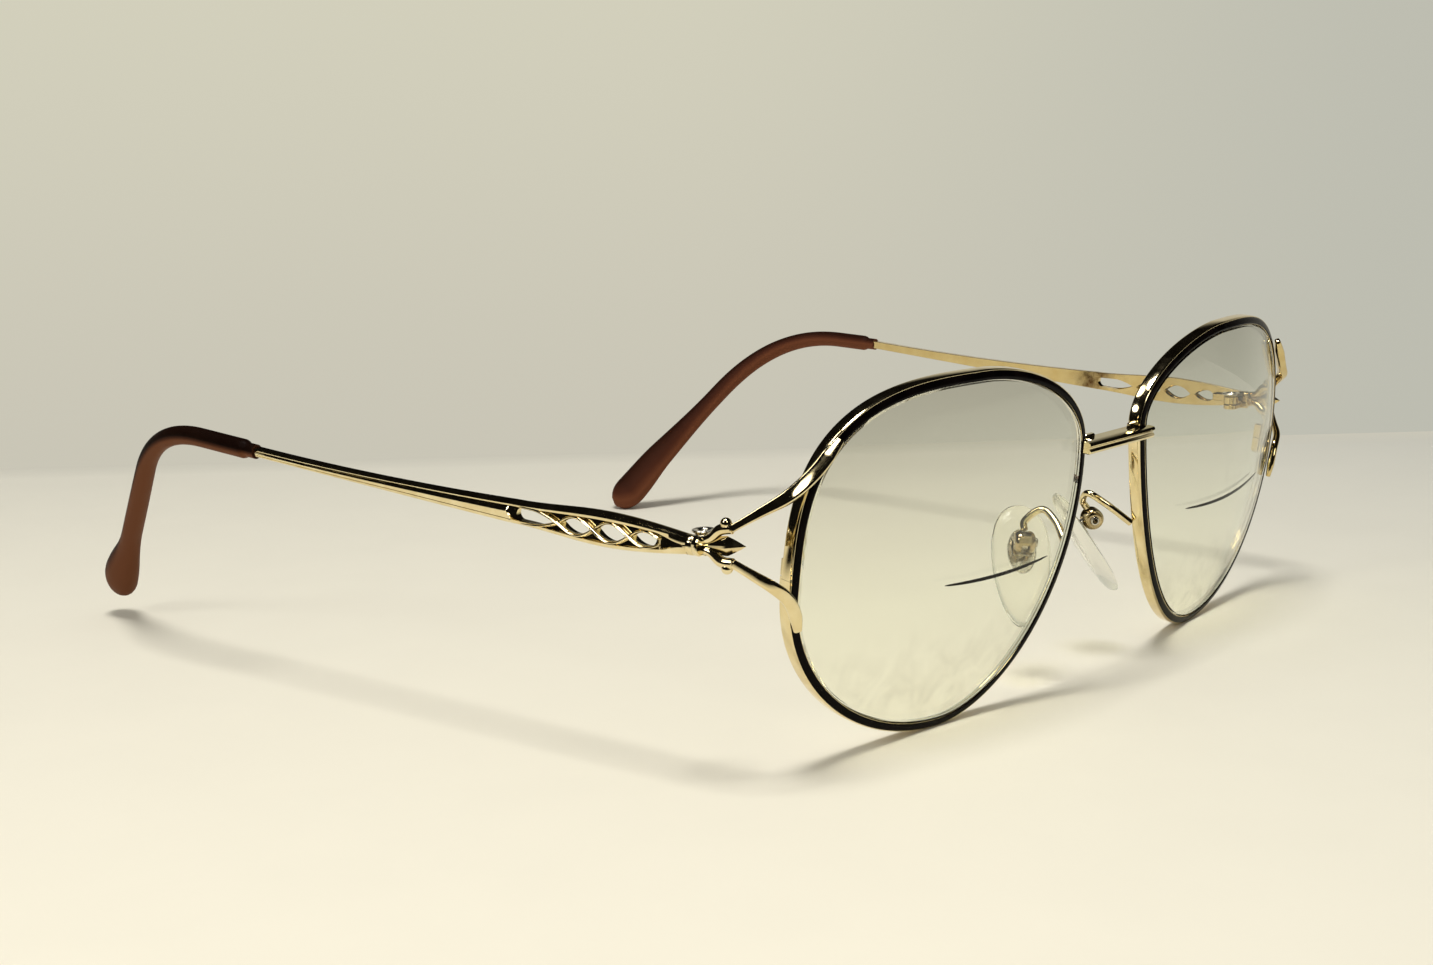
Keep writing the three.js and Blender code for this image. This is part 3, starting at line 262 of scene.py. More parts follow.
# Camera and stage; places on the floor are distances ahead of the camera or to its right
CAMERA_AT = (-241.10, -144.73, 82.24)
CAMERA_TARGET = (2.51, 76.32, 19.52)
CAMERA_ROLL_DEG = -1.518
CAMERA_LENS = 49.96
SENSOR_WIDTH = 36
# The floor's colour is painted lighter near the camera and darker far off and to its right: painted light
# and shade.
FLOOR_NEAR = (0.88, 0.82, 0.66)
FLOOR_FAR = (0.68, 0.65, 0.545)
NEAR_AT = 170
FLOOR_SHADE = (0.90, 0.92, 0.95)
SHADED_FROM = 20, 160
# The wall is painted lighter higher up and darker to the camera's right: painted light and shade.
WALL_LOW = (0.585, 0.56, 0.468)
WALL_HIGH = (0.655, 0.635, 0.505)
WALL_ASIDE = (0.505, 0.505, 0.435)
WALL_AT = 466
WALL_BLUR = 14
FLOOR_SIDE = 2500
FLOOR_BEHIND = 2500
FADE_ASIDE = 1000, 400
FADE_BEHIND = -700, -100
# Beyond these distances the floor looks dark to mirrored rays: a painted reflection.
MIRRORED_FROM = 120, 190
MIRRORED_LEFT = -170, -110
MIRRORED_DEEP = 245, 285
MIRRORED_RIGHT = 600, 480
FILL = 0.4
FILL_COLOUR = (1, 0.99, 0.96)
# Mirrored rays alone see a dark room with a pale band and two bright glints: a painted reflection and
# painted highlights.
ROOM_DARK = (0.004, 0.0035, 0.003)
PAINTED_GLINT = (6, 5.8, 5.2)

# Mirrored room and visible wall, which change with the direction of the ray; lamps are in metres
ROOM_LEVEL = 0.22, 0.06
ROOM_LEVEL_RIGHT = 0.5, 0.2
ROOM_RIGHT = -0.1, 0.06
ROOM_AHEAD = 0.45, 0.8
GLINT_EDGE = 0.986, 0.992
WALL_RISE = -0.2, 0.12
WALL_TURN = -0.05, 0.4
GLINT_WAYS = (-0.34, 0.33, 0.88), (-0.27, -0.67, 0.64)
OVERHEAD_LAMP = {"at": (-0.14, 0.02, 0.85), "target": (0, 0.06, 0), "size": 0.26, "power": 4.85}
SIDE_LAMP = {"at": (-0.75, 0.25, 0.55), "target": (0, 0.06, 0.02), "size": 0.25, "power": 1.1}

FLIP = {None: 1, "left": 1, "right": -1}
X_AXIS = Vector((1, 0, 0))


def lerp(a, b, t):
    return a + (b - a) * t


def smooth(x, low, high):
    t = min(1, max(0, (x - low) / (high - low)))
    return t * t * (3 - 2 * t)


def even(steps, low=0.0, high=1.0):
    return [lerp(low, high, i / steps) for i in range(steps + 1)]


def turns(count):
    return [2 * pi * i / count for i in range(count)]


def mirrored(half):
    """Half a section, then its mirror image below."""
    return half + [(a, -b) for a, b in reversed(half)]


def scaled(section, middle, size):
    return [(middle + (a - middle) * size, b * size) for a, b in section]


# Curves as dense rows of points, read by their share of length

class Path:
    def __init__(self, points):
        self.points = [Vector(p) for p in points]
        self.lengths = [0.0]
        for a, b in zip(self.points, self.points[1:]):
            self.lengths.append(self.lengths[-1] + (b - a).length)
        self.length = self.lengths[-1]

    def at(self, share):
        goal = min(1, max(0, share)) * self.length
        i = min(max(1, bisect_left(self.lengths, goal)), len(self.points) - 1)
        span = self.lengths[i] - self.lengths[i - 1]
        part = (goal - self.lengths[i - 1]) / span if span else 0
        return self.points[i - 1].lerp(self.points[i], part)

    def along(self, share, step=0.002):
        return (self.at(share + step) - self.at(share - step)).normalized()


def bend_through(points, count=500):
    """Smooth curve through a few points, spaced by the square root of their distances."""
    last = len(points) - 1

    def spot(t):
        i = min(int(t * last), last - 1)
        w = t * last - i
        p1, p2 = points[i], points[i + 1]
        p0 = points[i - 1] if i > 0 else 2 * p1 - p2
        p3 = points[i + 2] if i + 2 <= last else 2 * p2 - p1
        d0, d1, d2 = (sqrt((b - a).length) for a, b in ((p0, p1), (p1, p2), (p2, p3)))
        t1 = ((p1 - p0) / d0 - (p2 - p0) / (d0 + d1) + (p2 - p1) / d1) * d1
        t2 = ((p2 - p1) / d1 - (p3 - p1) / (d1 + d2) + (p3 - p2) / d2) * d1
        c2 = 3 * (p2 - p1) - 2 * t1 - t2
        c3 = 2 * (p1 - p2) + t1 + t2
        return p1 + t1 * w + c2 * w * w + c3 * w * w * w

    return Path([spot(t) for t in even(count)])


# Shells: closed skins over rings, in millimetres

class Shell:
    def __init__(self, points, faces, marks=None):
        self.points = points
        self.faces = faces
        self.marks = marks or [0] * len(faces)

    def moved(self, matrix):
        return Shell([matrix @ p for p in self.points], self.faces, self.marks)


def skin(rings, edge_marks=None, closed=False):
    """Skin over rings, with a cap on each end unless the last ring joins the first."""
    count, total = len(rings[0]), len(rings)
    faces, marks = [], []
    for i in range(total if closed else total - 1):
        a, b = i * count, (i + 1) % total * count
        for j in range(count):
            k = (j + 1) % count
            faces.append((a + j, a + k, b + k, b + j))
            marks.append(edge_marks[j] if edge_marks else 0)
    if not closed:
        last = (total - 1) * count
        faces += [tuple(reversed(range(count))), tuple(range(last, last + count))]
        marks += [0, 0]
    return Shell([p for ring in rings for p in ring], faces, marks)


def tube(path, reference, radii, stations, sides, round_ends=True, shift=None, square=1.0):
    """Tube of oval section with the first radius and the shift along the reference direction."""
    def part(value):
        return copysign(abs(value) ** square, value)

    rings = []
    for s in stations:
        along = path.along(s)
        toward = reference(s) if callable(reference) else reference
        wide = (toward - along * toward.dot(along)).normalized()
        high = along.cross(wide)
        centre = path.at(s) + wide * (shift(s) if shift else 0)
        a, b = radii(s) if callable(radii) else radii
        shares = [(a * part(cos(t)), b * part(sin(t))) for t in turns(sides)]
        rings.append([centre + wide * across + high * up for across, up in shares])
    return skin(dome_ends(rings) if round_ends else rings)


def dome_ends(rings, steps=3):
    """Draw both end rings in to a low dome inside the end planes."""
    def dome(end, nxt):
        centre = sum(end, Vector()) / len(end)
        inner = sum(nxt, Vector()) / len(nxt)
        reach = max((p - centre).length for p in end)
        back = (inner - centre).normalized() * min(reach * 0.5, (inner - centre).length * 0.9)
        layers = []
        for k in range(steps, 0, -1):
            t = pi / 2 * k / (steps + 0.35)
            shift = back * (1 - sin(t))
            layers.append([centre + shift + (p - centre) * cos(t) for p in end])
        layers.append([p + back for p in end])
        return layers

    head = dome(rings[0], rings[1])
    tail = list(reversed(dome(rings[-1], rings[-2])))
    return head + rings[1:-1] + tail


def lathe(outline, sides=32):
    """Turned solid about Z from (radius, height) pairs that start and end on the axis side."""
    return skin([
        [Vector((radius * cos(t), radius * sin(t), height)) for t in turns(sides)]
        for radius, height in outline
    ])


def ring_barrel(radius, bore, low, high, edge=0.1, sides=32):
    """Hollow barrel about Z with eased edges."""
    loop = [
        (bore, low + edge), (bore + edge, low), (radius - edge, low), (radius, low + edge),
        (radius, high - edge), (radius - edge, high), (bore + edge, high), (bore, high - edge),
    ]
    rings = [[Vector((r * cos(t), r * sin(t), z)) for r, z in loop] for t in turns(sides)]
    return skin(rings, closed=True)


def slab(x0, x1, y0, y1, z0, z1, ease=0.1):
    """Box with eased edges all round."""
    x0, x1 = sorted((x0, x1))
    y0, y1 = sorted((y0, y1))
    e = min(ease, (x1 - x0) / 3, (y1 - y0) / 3, (z1 - z0) / 3)

    def ring(inset, z):
        a, b, c, d = x0 + inset, x1 - inset, y0 + inset, y1 - inset
        lower = [(a, c + e), (a + e, c), (b - e, c), (b, c + e)]
        upper = [(b, d - e), (b - e, d), (a + e, d), (a, d - e)]
        return [Vector((x, y, z)) for x, y in lower + upper]

    return skin([ring(e, z0), ring(0, z0 + e), ring(0, z1 - e), ring(e, z1)])


# Blender objects from shells

def new_object(name, shells, side, materials, sharp_deg):
    points, faces, marks = [], [], []
    for shell in shells:
        base = len(points)
        points += [Vector((FLIP[side] * p.x, p.y, p.z)) * MM for p in shell.points]
        faces += [tuple(base + i for i in face) for face in shell.faces]
        marks += shell.marks
    mesh = bpy.data.meshes.new(name)
    mesh.from_pydata(points, [], faces)
    for material in materials:
        mesh.materials.append(material)
    mesh.polygons.foreach_set("material_index", marks)
    build = bmesh.new()
    build.from_mesh(mesh)
    bmesh.ops.recalc_face_normals(build, faces=build.faces)
    build.to_mesh(mesh)
    build.free()
    obj = bpy.data.objects.new(name, mesh)
    bpy.context.scene.collection.objects.link(obj)
    soften(obj, sharp_deg)
    return obj


def soften(obj, sharp_deg):
    mesh = obj.data
    mesh.polygons.foreach_set("use_smooth", [True] * len(mesh.polygons))
    mesh.set_sharp_from_angle(angle=radians(sharp_deg))


def carve(obj, shells, side, sharp_deg):
    """Cut closed shells out of an object's mesh."""
    cutters = [new_object(f"{obj.name}_cut", [shell], side, [], sharp_deg) for shell in shells]
    for cutter in cutters:
        cut = obj.modifiers.new("cut", "BOOLEAN")
        cut.operation = "DIFFERENCE"
        cut.solver = "EXACT"
        cut.object = cutter
    ready = obj.evaluated_get(bpy.context.evaluated_depsgraph_get())
    obj.data = bpy.data.meshes.new_from_object(ready)
    obj.modifiers.clear()
    for cutter in cutters:
        bpy.data.objects.remove(cutter)
    soften(obj, sharp_deg)


def piece(name, side, shells, body, slot, node, *materials, cuts=(), sharp_deg=38):
    """Make one visual piece that rides a body and takes the place of a solid, if it names one."""
    ending = f"_{side}" if side else ""
    obj = new_object(name + ending, shells, side, materials, sharp_deg)
    if cuts:
        carve(obj, cuts, side, sharp_deg)
    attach(obj, body)
    if node:
        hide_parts(node + ending)


def gold_piece(name, side, shells, body, node, **options):
    piece(name, side, shells, body, "gold_metal", node, GOLD, **options)


# Finishes

class Nodes:
    """Node tree with short helpers, whose inputs take sockets or plain values."""

    def __init__(self, tree):
        self.tree = tree
        tree.nodes.clear()

    def feed(self, socket, source):
        if isinstance(source, bpy.types.NodeSocket):
            self.tree.links.new(source, socket)
        else:
            socket.default_value = (*source, 1) if socket.type == "RGBA" else source

    def add(self, kind, inputs, out=0, **settings):
        node = self.tree.nodes.new(f"ShaderNode{kind}")
        for name, value in settings.items():
            setattr(node, name, value)
        for name, source in inputs.items():
            self.feed(node.inputs[name], source)
        return node.outputs[out]

    def math(self, operation, *sources):
        return self.add("Math", dict(enumerate(sources)), operation=operation)

    def times(self, first, *others):
        for other in others:
            first = self.math("MULTIPLY", first, other)
        return first

    def rest_of(self, share):
        return self.math("SUBTRACT", 1.0, share)

    def range(self, source, low, high, start=0.3, end=0.7, **settings):
        return self.add("MapRange", {0: source, 1: start, 2: end, 3: low, 4: high}, **settings)

    def along(self, vector, way):
        return self.add("VectorMath", {0: vector, 1: way}, "Value", operation="DOT_PRODUCT")

    def blend(self, factor, first, second, kind="MIX"):
        sources = {0: factor, 6: first, 7: second}
        return self.add("Mix", sources, 2, data_type="RGBA", blend_type=kind)

    def ramp(self, source, *stops):
        colour = self.add("ValToRGB", {0: source})
        elements = colour.node.color_ramp.elements
        while len(elements) < len(stops):
            elements.new(0.5)
        for element, (position, shade) in zip(elements, stops):
            element.position = position
            element.color = (*shade, 1)
        return colour

    def glow(self, kind, colour, strength=1.0):
        return self.add(kind, {"Color": colour, "Strength": strength})

    def either(self, factor, first, second):
        return self.add("MixShader", {0: factor, 1: first, 2: second})

    def rays(self, kind):
        return self.add("LightPath", {}, f"Is {kind} Ray")


class Finish(Nodes):
    """Node material with one Principled surface."""

    def __init__(self, name, **values):
        self.material = bpy.data.materials.new(name)
        self.material.use_nodes = True
        super().__init__(self.material.node_tree)
        self.output = self.tree.nodes.new("ShaderNodeOutputMaterial").inputs["Surface"]
        self.surface = self.add("BsdfPrincipled", {n.replace("_", " "): v for n, v in values.items()})
        self.feed(self.output, self.surface)
        self.place = self.add("TexCoord", {}, "Object")

    def noise(self, scale, detail=3, stretch=None, distortion=0.0):
        place = self.add("Mapping", {"Vector": self.place, "Scale": stretch}) if stretch else self.place
        sources = {"Vector": place, "Scale": scale, "Detail": detail, "Distortion": distortion}
        return self.add("TexNoise", sources, "Fac")

    def axis(self, name, low, high):
        """Share of the way between two levels along one axis, in millimetres."""
        return self.range(self.add("SeparateXYZ", {0: self.place}, name), 0, 1, low * MM, high * MM)

    def clouds(self, scale, detail, *stops, distortion=0.0):
        return self.ramp(self.noise(scale, detail, distortion=distortion), *stops)

    def uneven(self, scale, detail, low, high):
        return self.range(self.noise(scale, detail), low, high)

    def bumps(self, scale, strength, depth_mm=0.02, stretch=None):
        height = self.noise(scale, 3, stretch)
        return self.add("Bump", {"Height": height, "Strength": strength, "Distance": depth_mm * MM})

    def paint(self, colour, rough=None, normal=None):
        for name, source in (("Base Color", colour), ("Roughness", rough), ("Normal", normal)):
            if source:
                self.feed(self.surface.node.inputs[name], source)
        return self.material

    def open_to_lamps(self, tint):
        """Let light through on its way to the floor."""
        clear = self.add("BsdfTransparent", {"Color": tint})
        self.feed(self.output, self.either(self.rays("Shadow"), self.surface, clear))


def gold_finish():
    """Plate with dull spots, painted a deeper gold towards the left as painted shade."""
    finish = Finish("gold_plate", Metallic=1.0)
    clean = finish.clouds(420, 4, (0.3, (0.75, 0.62, 0.35)), (0.7, (0.85, 0.745, 0.48)))
    # Painted shade: the gold is made deeper towards the wearer's left.
    deep = finish.blend(1.0, clean, (0.86, 0.79, 0.62), "MULTIPLY")
    clean = finish.blend(finish.axis("X", 2, 45), clean, deep)
    dull = finish.clouds(160, 6, (0.60, (0, 0, 0)), (0.80, (0.5, 0.5, 0.5)), distortion=0.6)
    colour = finish.blend(dull, clean, (0.55, 0.42, 0.24))
    rough = finish.uneven(700, 5, 0.05, 0.13)
    return finish.paint(colour, rough, finish.bumps(900, 0.05, stretch=(1, 0.15, 1)))


def dark_gold_finish():
    # A darker, browner copy of the gold plate, used on the pad barrels.
    finish = Finish("dark_gold", Metallic=1.0)
    stops = (0.3, (0.33, 0.25, 0.13)), (0.7, (0.60, 0.49, 0.29))
    colour = finish.clouds(500, 5, *stops, distortion=0.4)
    return finish.paint(colour, finish.uneven(900, 4, 0.10, 0.24), finish.bumps(1200, 0.06))


def enamel_finish():
    finish = Finish("black_enamel", Specular_IOR_Level=0.04)
    colour = finish.clouds(350, 4, (0.35, (0.0015, 0.001, 0.001)), (0.75, (0.005, 0.003, 0.003)))
    return finish.paint(colour, finish.uneven(800, 4, 0.08, 0.22), finish.bumps(500, 0.06))


def steel_finish():
    finish = Finish("screw_steel", Metallic=1.0)
    colour = finish.clouds(900, 4, (0.3, (0.50, 0.47, 0.40)), (0.7, (0.70, 0.66, 0.57)))
    bumps = finish.bumps(2500, 0.10, stretch=(1, 0.1, 1))
    return finish.paint(colour, finish.uneven(1500, 4, 0.14, 0.34), bumps)


def tip_finish():
    """Brown plastic with painted shade: darker on its upper side, most of all high on the right temple."""
    finish = Finish("tip_plastic", IOR=1.45, Specular_IOR_Level=0.03)
    # Painted shade: the colour darkens where the surface faces up, and more so high up on the right temple.
    facing = finish.add("SeparateXYZ", {0: finish.add("TexCoord", {}, "Normal")}, "Z")
    side = finish.axis("X", -40, 40)
    extra_shade = finish.times(finish.axis("Z", 23, 31), finish.range(side, 0.17, 0, 0, 1))
    painted_shade = finish.math("ADD", extra_shade, finish.range(facing, 0, 1, -1, 1))
    # Each side has its own ramp from the plastic's brown to painted shade.
    right = finish.ramp(painted_shade, (0.0, (0.140, 0.055, 0.027)), (0.47, (0.136, 0.049, 0.021)),
                        (0.60, (0.050, 0.016, 0.007)), (0.71, (0.006, 0.002, 0.001)))
    left = finish.ramp(painted_shade, (0.0, (0.160, 0.056, 0.028)), (0.5, (0.150, 0.050, 0.023)),
                       (0.68, (0.060, 0.018, 0.009)), (0.85, (0.020, 0.006, 0.003)))
    pale = finish.clouds(110, 5, (0.45, (0, 0, 0)), (0.8, (0.04, 0.04, 0.04)), distortion=0.5)
    colour = finish.blend(pale, finish.blend(side, right, left), (0.16, 0.07, 0.04))
    return finish.paint(colour, finish.uneven(500, 4, 0.38, 0.50), finish.bumps(900, 0.05))


def pad_finish():
    finish = Finish("clear_pad", IOR=1.22, Transmission_Weight=0.98)
    finish.open_to_lamps((0.86, 0.85, 0.78))
    colour = finish.clouds(220, 4, (0.3, (0.945, 0.94, 0.875)), (0.7, (0.98, 0.975, 0.93)))
    return finish.paint(colour, finish.uneven(600, 4, 0.04, 0.14), finish.bumps(700, 0.06, 0.03))


def lens_finish():
    """Glass tinted towards the top, with smears low down."""
    finish = Finish("tinted_lens", IOR=1.3, Transmission_Weight=1.0)
    finish.open_to_lamps((0.85, 0.84, 0.79))
    level = finish.axis("Z", 2, 46)
    # The tint deepens towards the top; the slight darkening at the very bottom is painted shade.
    tint = finish.ramp(level, (0.0, (0.935, 0.94, 0.84)), (0.4, (0.955, 0.965, 0.855)),
                       (0.72, (0.885, 0.885, 0.80)), (1.0, (0.71, 0.70, 0.635)))
    low = finish.ramp(level, (0.06, (1, 1, 1)), (0.34, (0, 0, 0)))
    smears = finish.clouds(230, 6, (0.45, (0, 0, 0)), (0.66, (0.4, 0.4, 0.4)), distortion=0.8)
    mask = finish.blend(1.0, smears, low, "MULTIPLY")
    return finish.paint(finish.blend(mask, tint, (0.62, 0.60, 0.50)), finish.range(mask, 0, 0.10, 0, 0.2))


def ledge_finish():
    # The ledge is glass; its near-black colour is painted shade for the dark line along the step.
    finish = Finish("lens_ledge", IOR=1.4, Specular_IOR_Level=0.1)
    colour = finish.clouds(400, 3, (0.3, (0.004, 0.003, 0.003)), (0.7, (0.02, 0.017, 0.014)))
    return finish.paint(colour, finish.uneven(700, 3, 0.12, 0.3))


GOLD = gold_finish()
DARK_GOLD = dark_gold_finish()
ENAMEL = enamel_finish()
STEEL = steel_finish()
PLASTIC = tip_finish()
CLEAR = pad_finish()
GLASS = lens_finish()
LEDGE = ledge_finish()


# Eye outline and where the front stands

def outline_point(t):
    east, north = cos(2 * pi * t), sin(2 * pi * t)
    middle_x = CROWN_SHIFT if north >= 0 else FOOT_SHIFT
    middle_z = TEMPORAL_RISE if east >= 0 else NASAL_RISE
    crown = CROWN_OUTER_FULLNESS if east >= 0 else CROWN_INNER_FULLNESS
    foot = FOOT_OUTER_FULLNESS if east >= 0 else FOOT_INNER_FULLNESS
    power = 2 / (crown if north >= 0 else foot)
    radius_x = EYE_WIDTH / 2 - copysign(1, east) * middle_x
    radius_z = EYE_HEIGHT / 2 - copysign(1, north) * middle_z
    x = middle_x + radius_x * copysign(abs(east) ** power, east)
    z = middle_z + radius_z * copysign(abs(north) ** power, north)
    return Vector((x, 0, z))


OUTLINE = Path([outline_point(t) for t in even(2400)])


def sag(x, z):
    return BASE_CURVE_RADIUS - sqrt(BASE_CURVE_RADIUS ** 2 - x * x - z * z)


def on_outline(length, outward, depth):
    share = (length / OUTLINE.length) % 1
    step = 0.0008
    point = OUTLINE.at(share)
    along = OUTLINE.at((share + step) % 1) - OUTLINE.at((share - step) % 1)
    out = Vector((along.z, 0, -along.x)).normalized()
    point = point + out * outward
    point.y = sag(point.x, point.z) + depth
    return point


def length_at_level(level, temple_side):
    spots = [i for i, p in enumerate(OUTLINE.points) if (p.x > 0) == temple_side]
    best = min(spots, key=lambda i: abs(OUTLINE.points[i].z - level))
    return OUTLINE.lengths[best]


WRAP = Matrix.Translation((EYE_CENTRE, 0, 0)) @ Matrix.Rotation(radians(FACE_WRAP_DEG), 4, "Z")
TILT = Matrix.Rotation(radians(FRONT_TILT_DEG), 4, "X")


def front_height():
    corners = ((RIM_FACE / 2, RIM_FRONT + RIM_ROUND), (RIM_FACE / 2, RIM_BACK - RIM_ROUND))
    lengths = even(240, 0, OUTLINE.length)
    return -min((TILT @ WRAP @ on_outline(s, *c)).z for s in lengths for c in corners)


FRONT_HEIGHT = front_height()
FRONT = Matrix.Translation((0, 0, FRONT_HEIGHT)) @ TILT
EYE = FRONT @ WRAP
HINGE = Vector((EYE_CENTRE + EYE_WIDTH / 2 + HINGE_REACH, HINGE_BACK, FRONT_HEIGHT + HINGE_LEVEL))
SWING = Matrix.Translation(HINGE) @ Matrix.Rotation(-radians(BAR_SPLAY_DEG), 4, "Z")


def rim_point(length, outward, depth):
    return EYE @ on_outline(length, outward, depth)


# Rim: wire with a black inlay between two fine gold lips on its front

def corner_arc(centre, radius, start_deg, end_deg, steps=5):
    angles = even(steps, radians(start_deg), radians(end_deg))
    return [(centre[0] + radius * cos(t), centre[1] + radius * sin(t)) for t in angles]


def rim_profile():
    """Section points with a mark on each edge that carries enamel."""
    inner, outer, r = -RIM_FACE / 2, RIM_FACE / 2, RIM_ROUND
    lip_in = corner_arc((inner + r, RIM_FRONT + r), r, 180, 225, 2)
    lip_out = corner_arc((outer - r, RIM_FRONT + r), r, 315, 360, 2)
    sunk = r - ENAMEL_SINK
    inlay = corner_arc((inner + r, RIM_FRONT + r), sunk, 229, 270, 4)
    inlay += corner_arc((outer - r, RIM_FRONT + r), sunk, 270, 311, 4)
    middle = RIM_MIDDLE
    rear = corner_arc((outer - r, RIM_BACK - r), r, 0, 90, 4)
    groove = [
        (inner, RIM_BACK), (inner, middle + GROOVE_WIDTH / 2),
        (inner + GROOVE_DEPTH, middle + GROOVE_FLOOR / 2),
        (inner + GROOVE_DEPTH, middle - GROOVE_FLOOR / 2), (inner, middle - GROOVE_WIDTH / 2),
    ]
    points = lip_in + inlay + lip_out + rear + groove
    first = len(lip_in)
    marks = [1 if first <= j < first + len(inlay) - 1 else 0 for j in range(len(points))]
    return points, marks


def rim_shell():
    profile, marks = rim_profile()
    start = SPLIT_AT + SPLIT_GAP / 2
    end = OUTLINE.length + SPLIT_AT - SPLIT_GAP / 2
    rings = [[rim_point(s, *p) for p in profile] for s in even(300, start, end)]
    return skin(rings, marks)


def lens_shell():
    edge = -RIM_FACE / 2 - LENS_SETBACK
    apex = -RIM_FACE / 2 + GROOVE_DEPTH - LENS_CLEARANCE
    lengths = even(180, 0, OUTLINE.length)[:-1]
    shares = (0.02, 0.15, 0.3, 0.45, 0.6, 0.75, 0.88, 0.96, 1)

    def ring(share, outward, depth):
        flat = [on_outline(s, outward, 0) * share for s in lengths]
        return [EYE @ Vector((p.x, sag(p.x, p.z) + RIM_MIDDLE + depth, p.z)) for p in flat]

    front = [ring(share, edge, -LENS_THICK / 2) for share in shares]
    bevel = [ring(1, edge, -LENS_BEVEL / 2), ring(1, apex, 0), ring(1, edge, LENS_BEVEL / 2)]
    back = [ring(share, edge, LENS_THICK / 2) for share in reversed(shares)]
    return skin(front + bevel + back)


def ledge_shell(side):
    """Step along the flat top of the reading part, proud of the lens's front."""
    low, high = LEDGE_FROM[side], LEDGE_TO[side]
    centre, half = (low + high) / 2, (high - low) / 2
    face = RIM_MIDDLE - LENS_THICK / 2
    rings = []
    for u in even(40, low, high):
        share = (u - centre) / half
        size = 0.15 + 0.85 * sqrt(max(0, 1 - share ** 2))
        v = LEDGE_LEVEL - LEDGE_CURVE * (u - centre) ** 2
        tall, proud = LEDGE_TALL * size / 2, LEDGE_PROUD * size
        section = ((0.06, -tall), (-proud * 0.4, -tall * 0.7), (-proud, tall), (0.06, tall))
        rings.append([EYE @ Vector((u, sag(u, v + dv) + face + dy, v + dv)) for dy, dv in section])
    return skin(rings)


# Bridge: grooved bar laid over both rims, with a back between them and a raised lug at each end

def bridge_shells():
    length = length_at_level(BRIDGE_LEVEL, False)
    contact = WRAP @ on_outline(length, RIM_FACE / 2, RIM_FRONT)
    reach = contact.x + BRIDGE_OVERLAP
    back = contact.y - SOLDER_GAP - BRIDGE_CLEAR
    front = back - BRIDGE_DEEP
    floor = front + BRIDGE_GROOVE
    half, ease = BRIDGE_TALL / 2, 0.12
    section = mirrored([
        (back, half - ease), (back - ease, half), (floor + ease, half),
        (front + BRIDGE_GROOVE * 0.6, half * 0.92), (front + 0.04, half * 0.62), (front, half * 0.5),
        (front + 0.06, half * 0.36), (floor, half * 0.1),
    ])
    rings = []
    for s, size in ((-1, 0.86), (-1 + 0.1 / reach, 1), (1 - 0.1 / reach, 1), (1, 0.86)):
        flat = scaled(section, (back + front) / 2, size)
        rings.append([FRONT @ Vector((reach * s, y, BRIDGE_LEVEL + z)) for y, z in flat])
    wall = contact.x - SOLDER_GAP - 0.2
    rear, top = back + BRIDGE_BACK_DEEP, BRIDGE_LEVEL + half
    backs = [slab(-wall, wall, back - BRIDGE_BACK_ROOT, rear, BRIDGE_LEVEL - half, top, 0.08)]
    for s in (-1, 1):
        ends = s * wall, s * (wall - BRIDGE_LUG_LENGTH)
        backs.append(slab(*ends, rear - BRIDGE_LUG_DEEP, rear, BRIDGE_LEVEL, top + BRIDGE_LUG_RISE, 0.12))
    return [skin(rings), *(shell.moved(FRONT) for shell in backs)]


# Tulip endpiece: collar, ridged centre leaf and two curling leaves that hold the arms

def tulip_point(forward, up, outward=0.0):
    lean = radians(TULIP_LEAN_DEG)
    start = HINGE + Vector((BAR_OFFSET, -JOINT_LEAD - SOLDER_GAP, 0))
    x = outward * cos(lean) - forward * sin(lean)
    y = -forward * cos(lean) - outward * sin(lean)
    return start + Vector((x, y, up + forward * tan(radians(TULIP_RISE_DEG))))


def arm_root(way):
    return tulip_point(ARM_ROOT_AT, way * ARM_ROOT_RISE)


def curling_leaf(way):
    span = ARM_ROOT_AT - COLLAR_LENGTH
    path = bend_through([
        tulip_point(COLLAR_LENGTH * 0.5, way * LEAF_ROOT_RISE),
        tulip_point(COLLAR_LENGTH + span * 0.25, way * lerp(LEAF_ROOT_RISE, ARM_ROOT_RISE, 0.3)),
        tulip_point(COLLAR_LENGTH + span * 0.6, way * lerp(LEAF_ROOT_RISE, ARM_ROOT_RISE, 0.88)),
        arm_root(way),
    ])

    def size(s):
        radius = lerp(LEAF_ROOT_RADIUS, LEAF_RADIUS, smooth(s, 0, 0.7))
        return radius, radius

    return tube(path, X_AXIS, size, even(40), 20)


def bud_shell(way):
    """Round bud that the leaf curls into, with a fine neck below it."""
    centre = tulip_point(KNOB_AT, way * KNOB_RISE)
    foot = tulip_point(KNOB_AT - 0.25, way * (KNOB_RISE - 1.0))
    outline = [(0.55, -1.25), (0.6, -1.0)]
    outline += [(sin(t), -cos(t)) for t in even(18, 0.22 * pi, 0.97 * pi)]
    turn = (centre - foot).to_track_quat("Z", "Y").to_matrix().to_4x4()
    bud = lathe([(KNOB_RADIUS * r, KNOB_RADIUS * h) for r, h in outline], 28)
    return bud.moved(Matrix.Translation(centre) @ turn)


def centre_leaf():
    start = COLLAR_LENGTH * 0.6
    rings = []
    for share in even(24):
        swell = smooth(share, 0, 0.62) * 0.7 + 0.3
        point = max(0.03, 1 - max(0, share - 0.62) / 0.38)
        fullness = swell * point ** 0.85
        forward = lerp(start, TULIP_LENGTH, share)
        half, ridge = SPIKE_HALF_WIDTH * fullness, SPIKE_RIDGE * max(fullness, 0.05)
        section = (1, 0), (0.12, 1), (-0.12, 1), (-1, 0), (-0.2, -0.7), (0.2, -0.7)
        rings.append([tulip_point(forward, half * up, ridge * out) for up, out in section])
    return skin(rings)


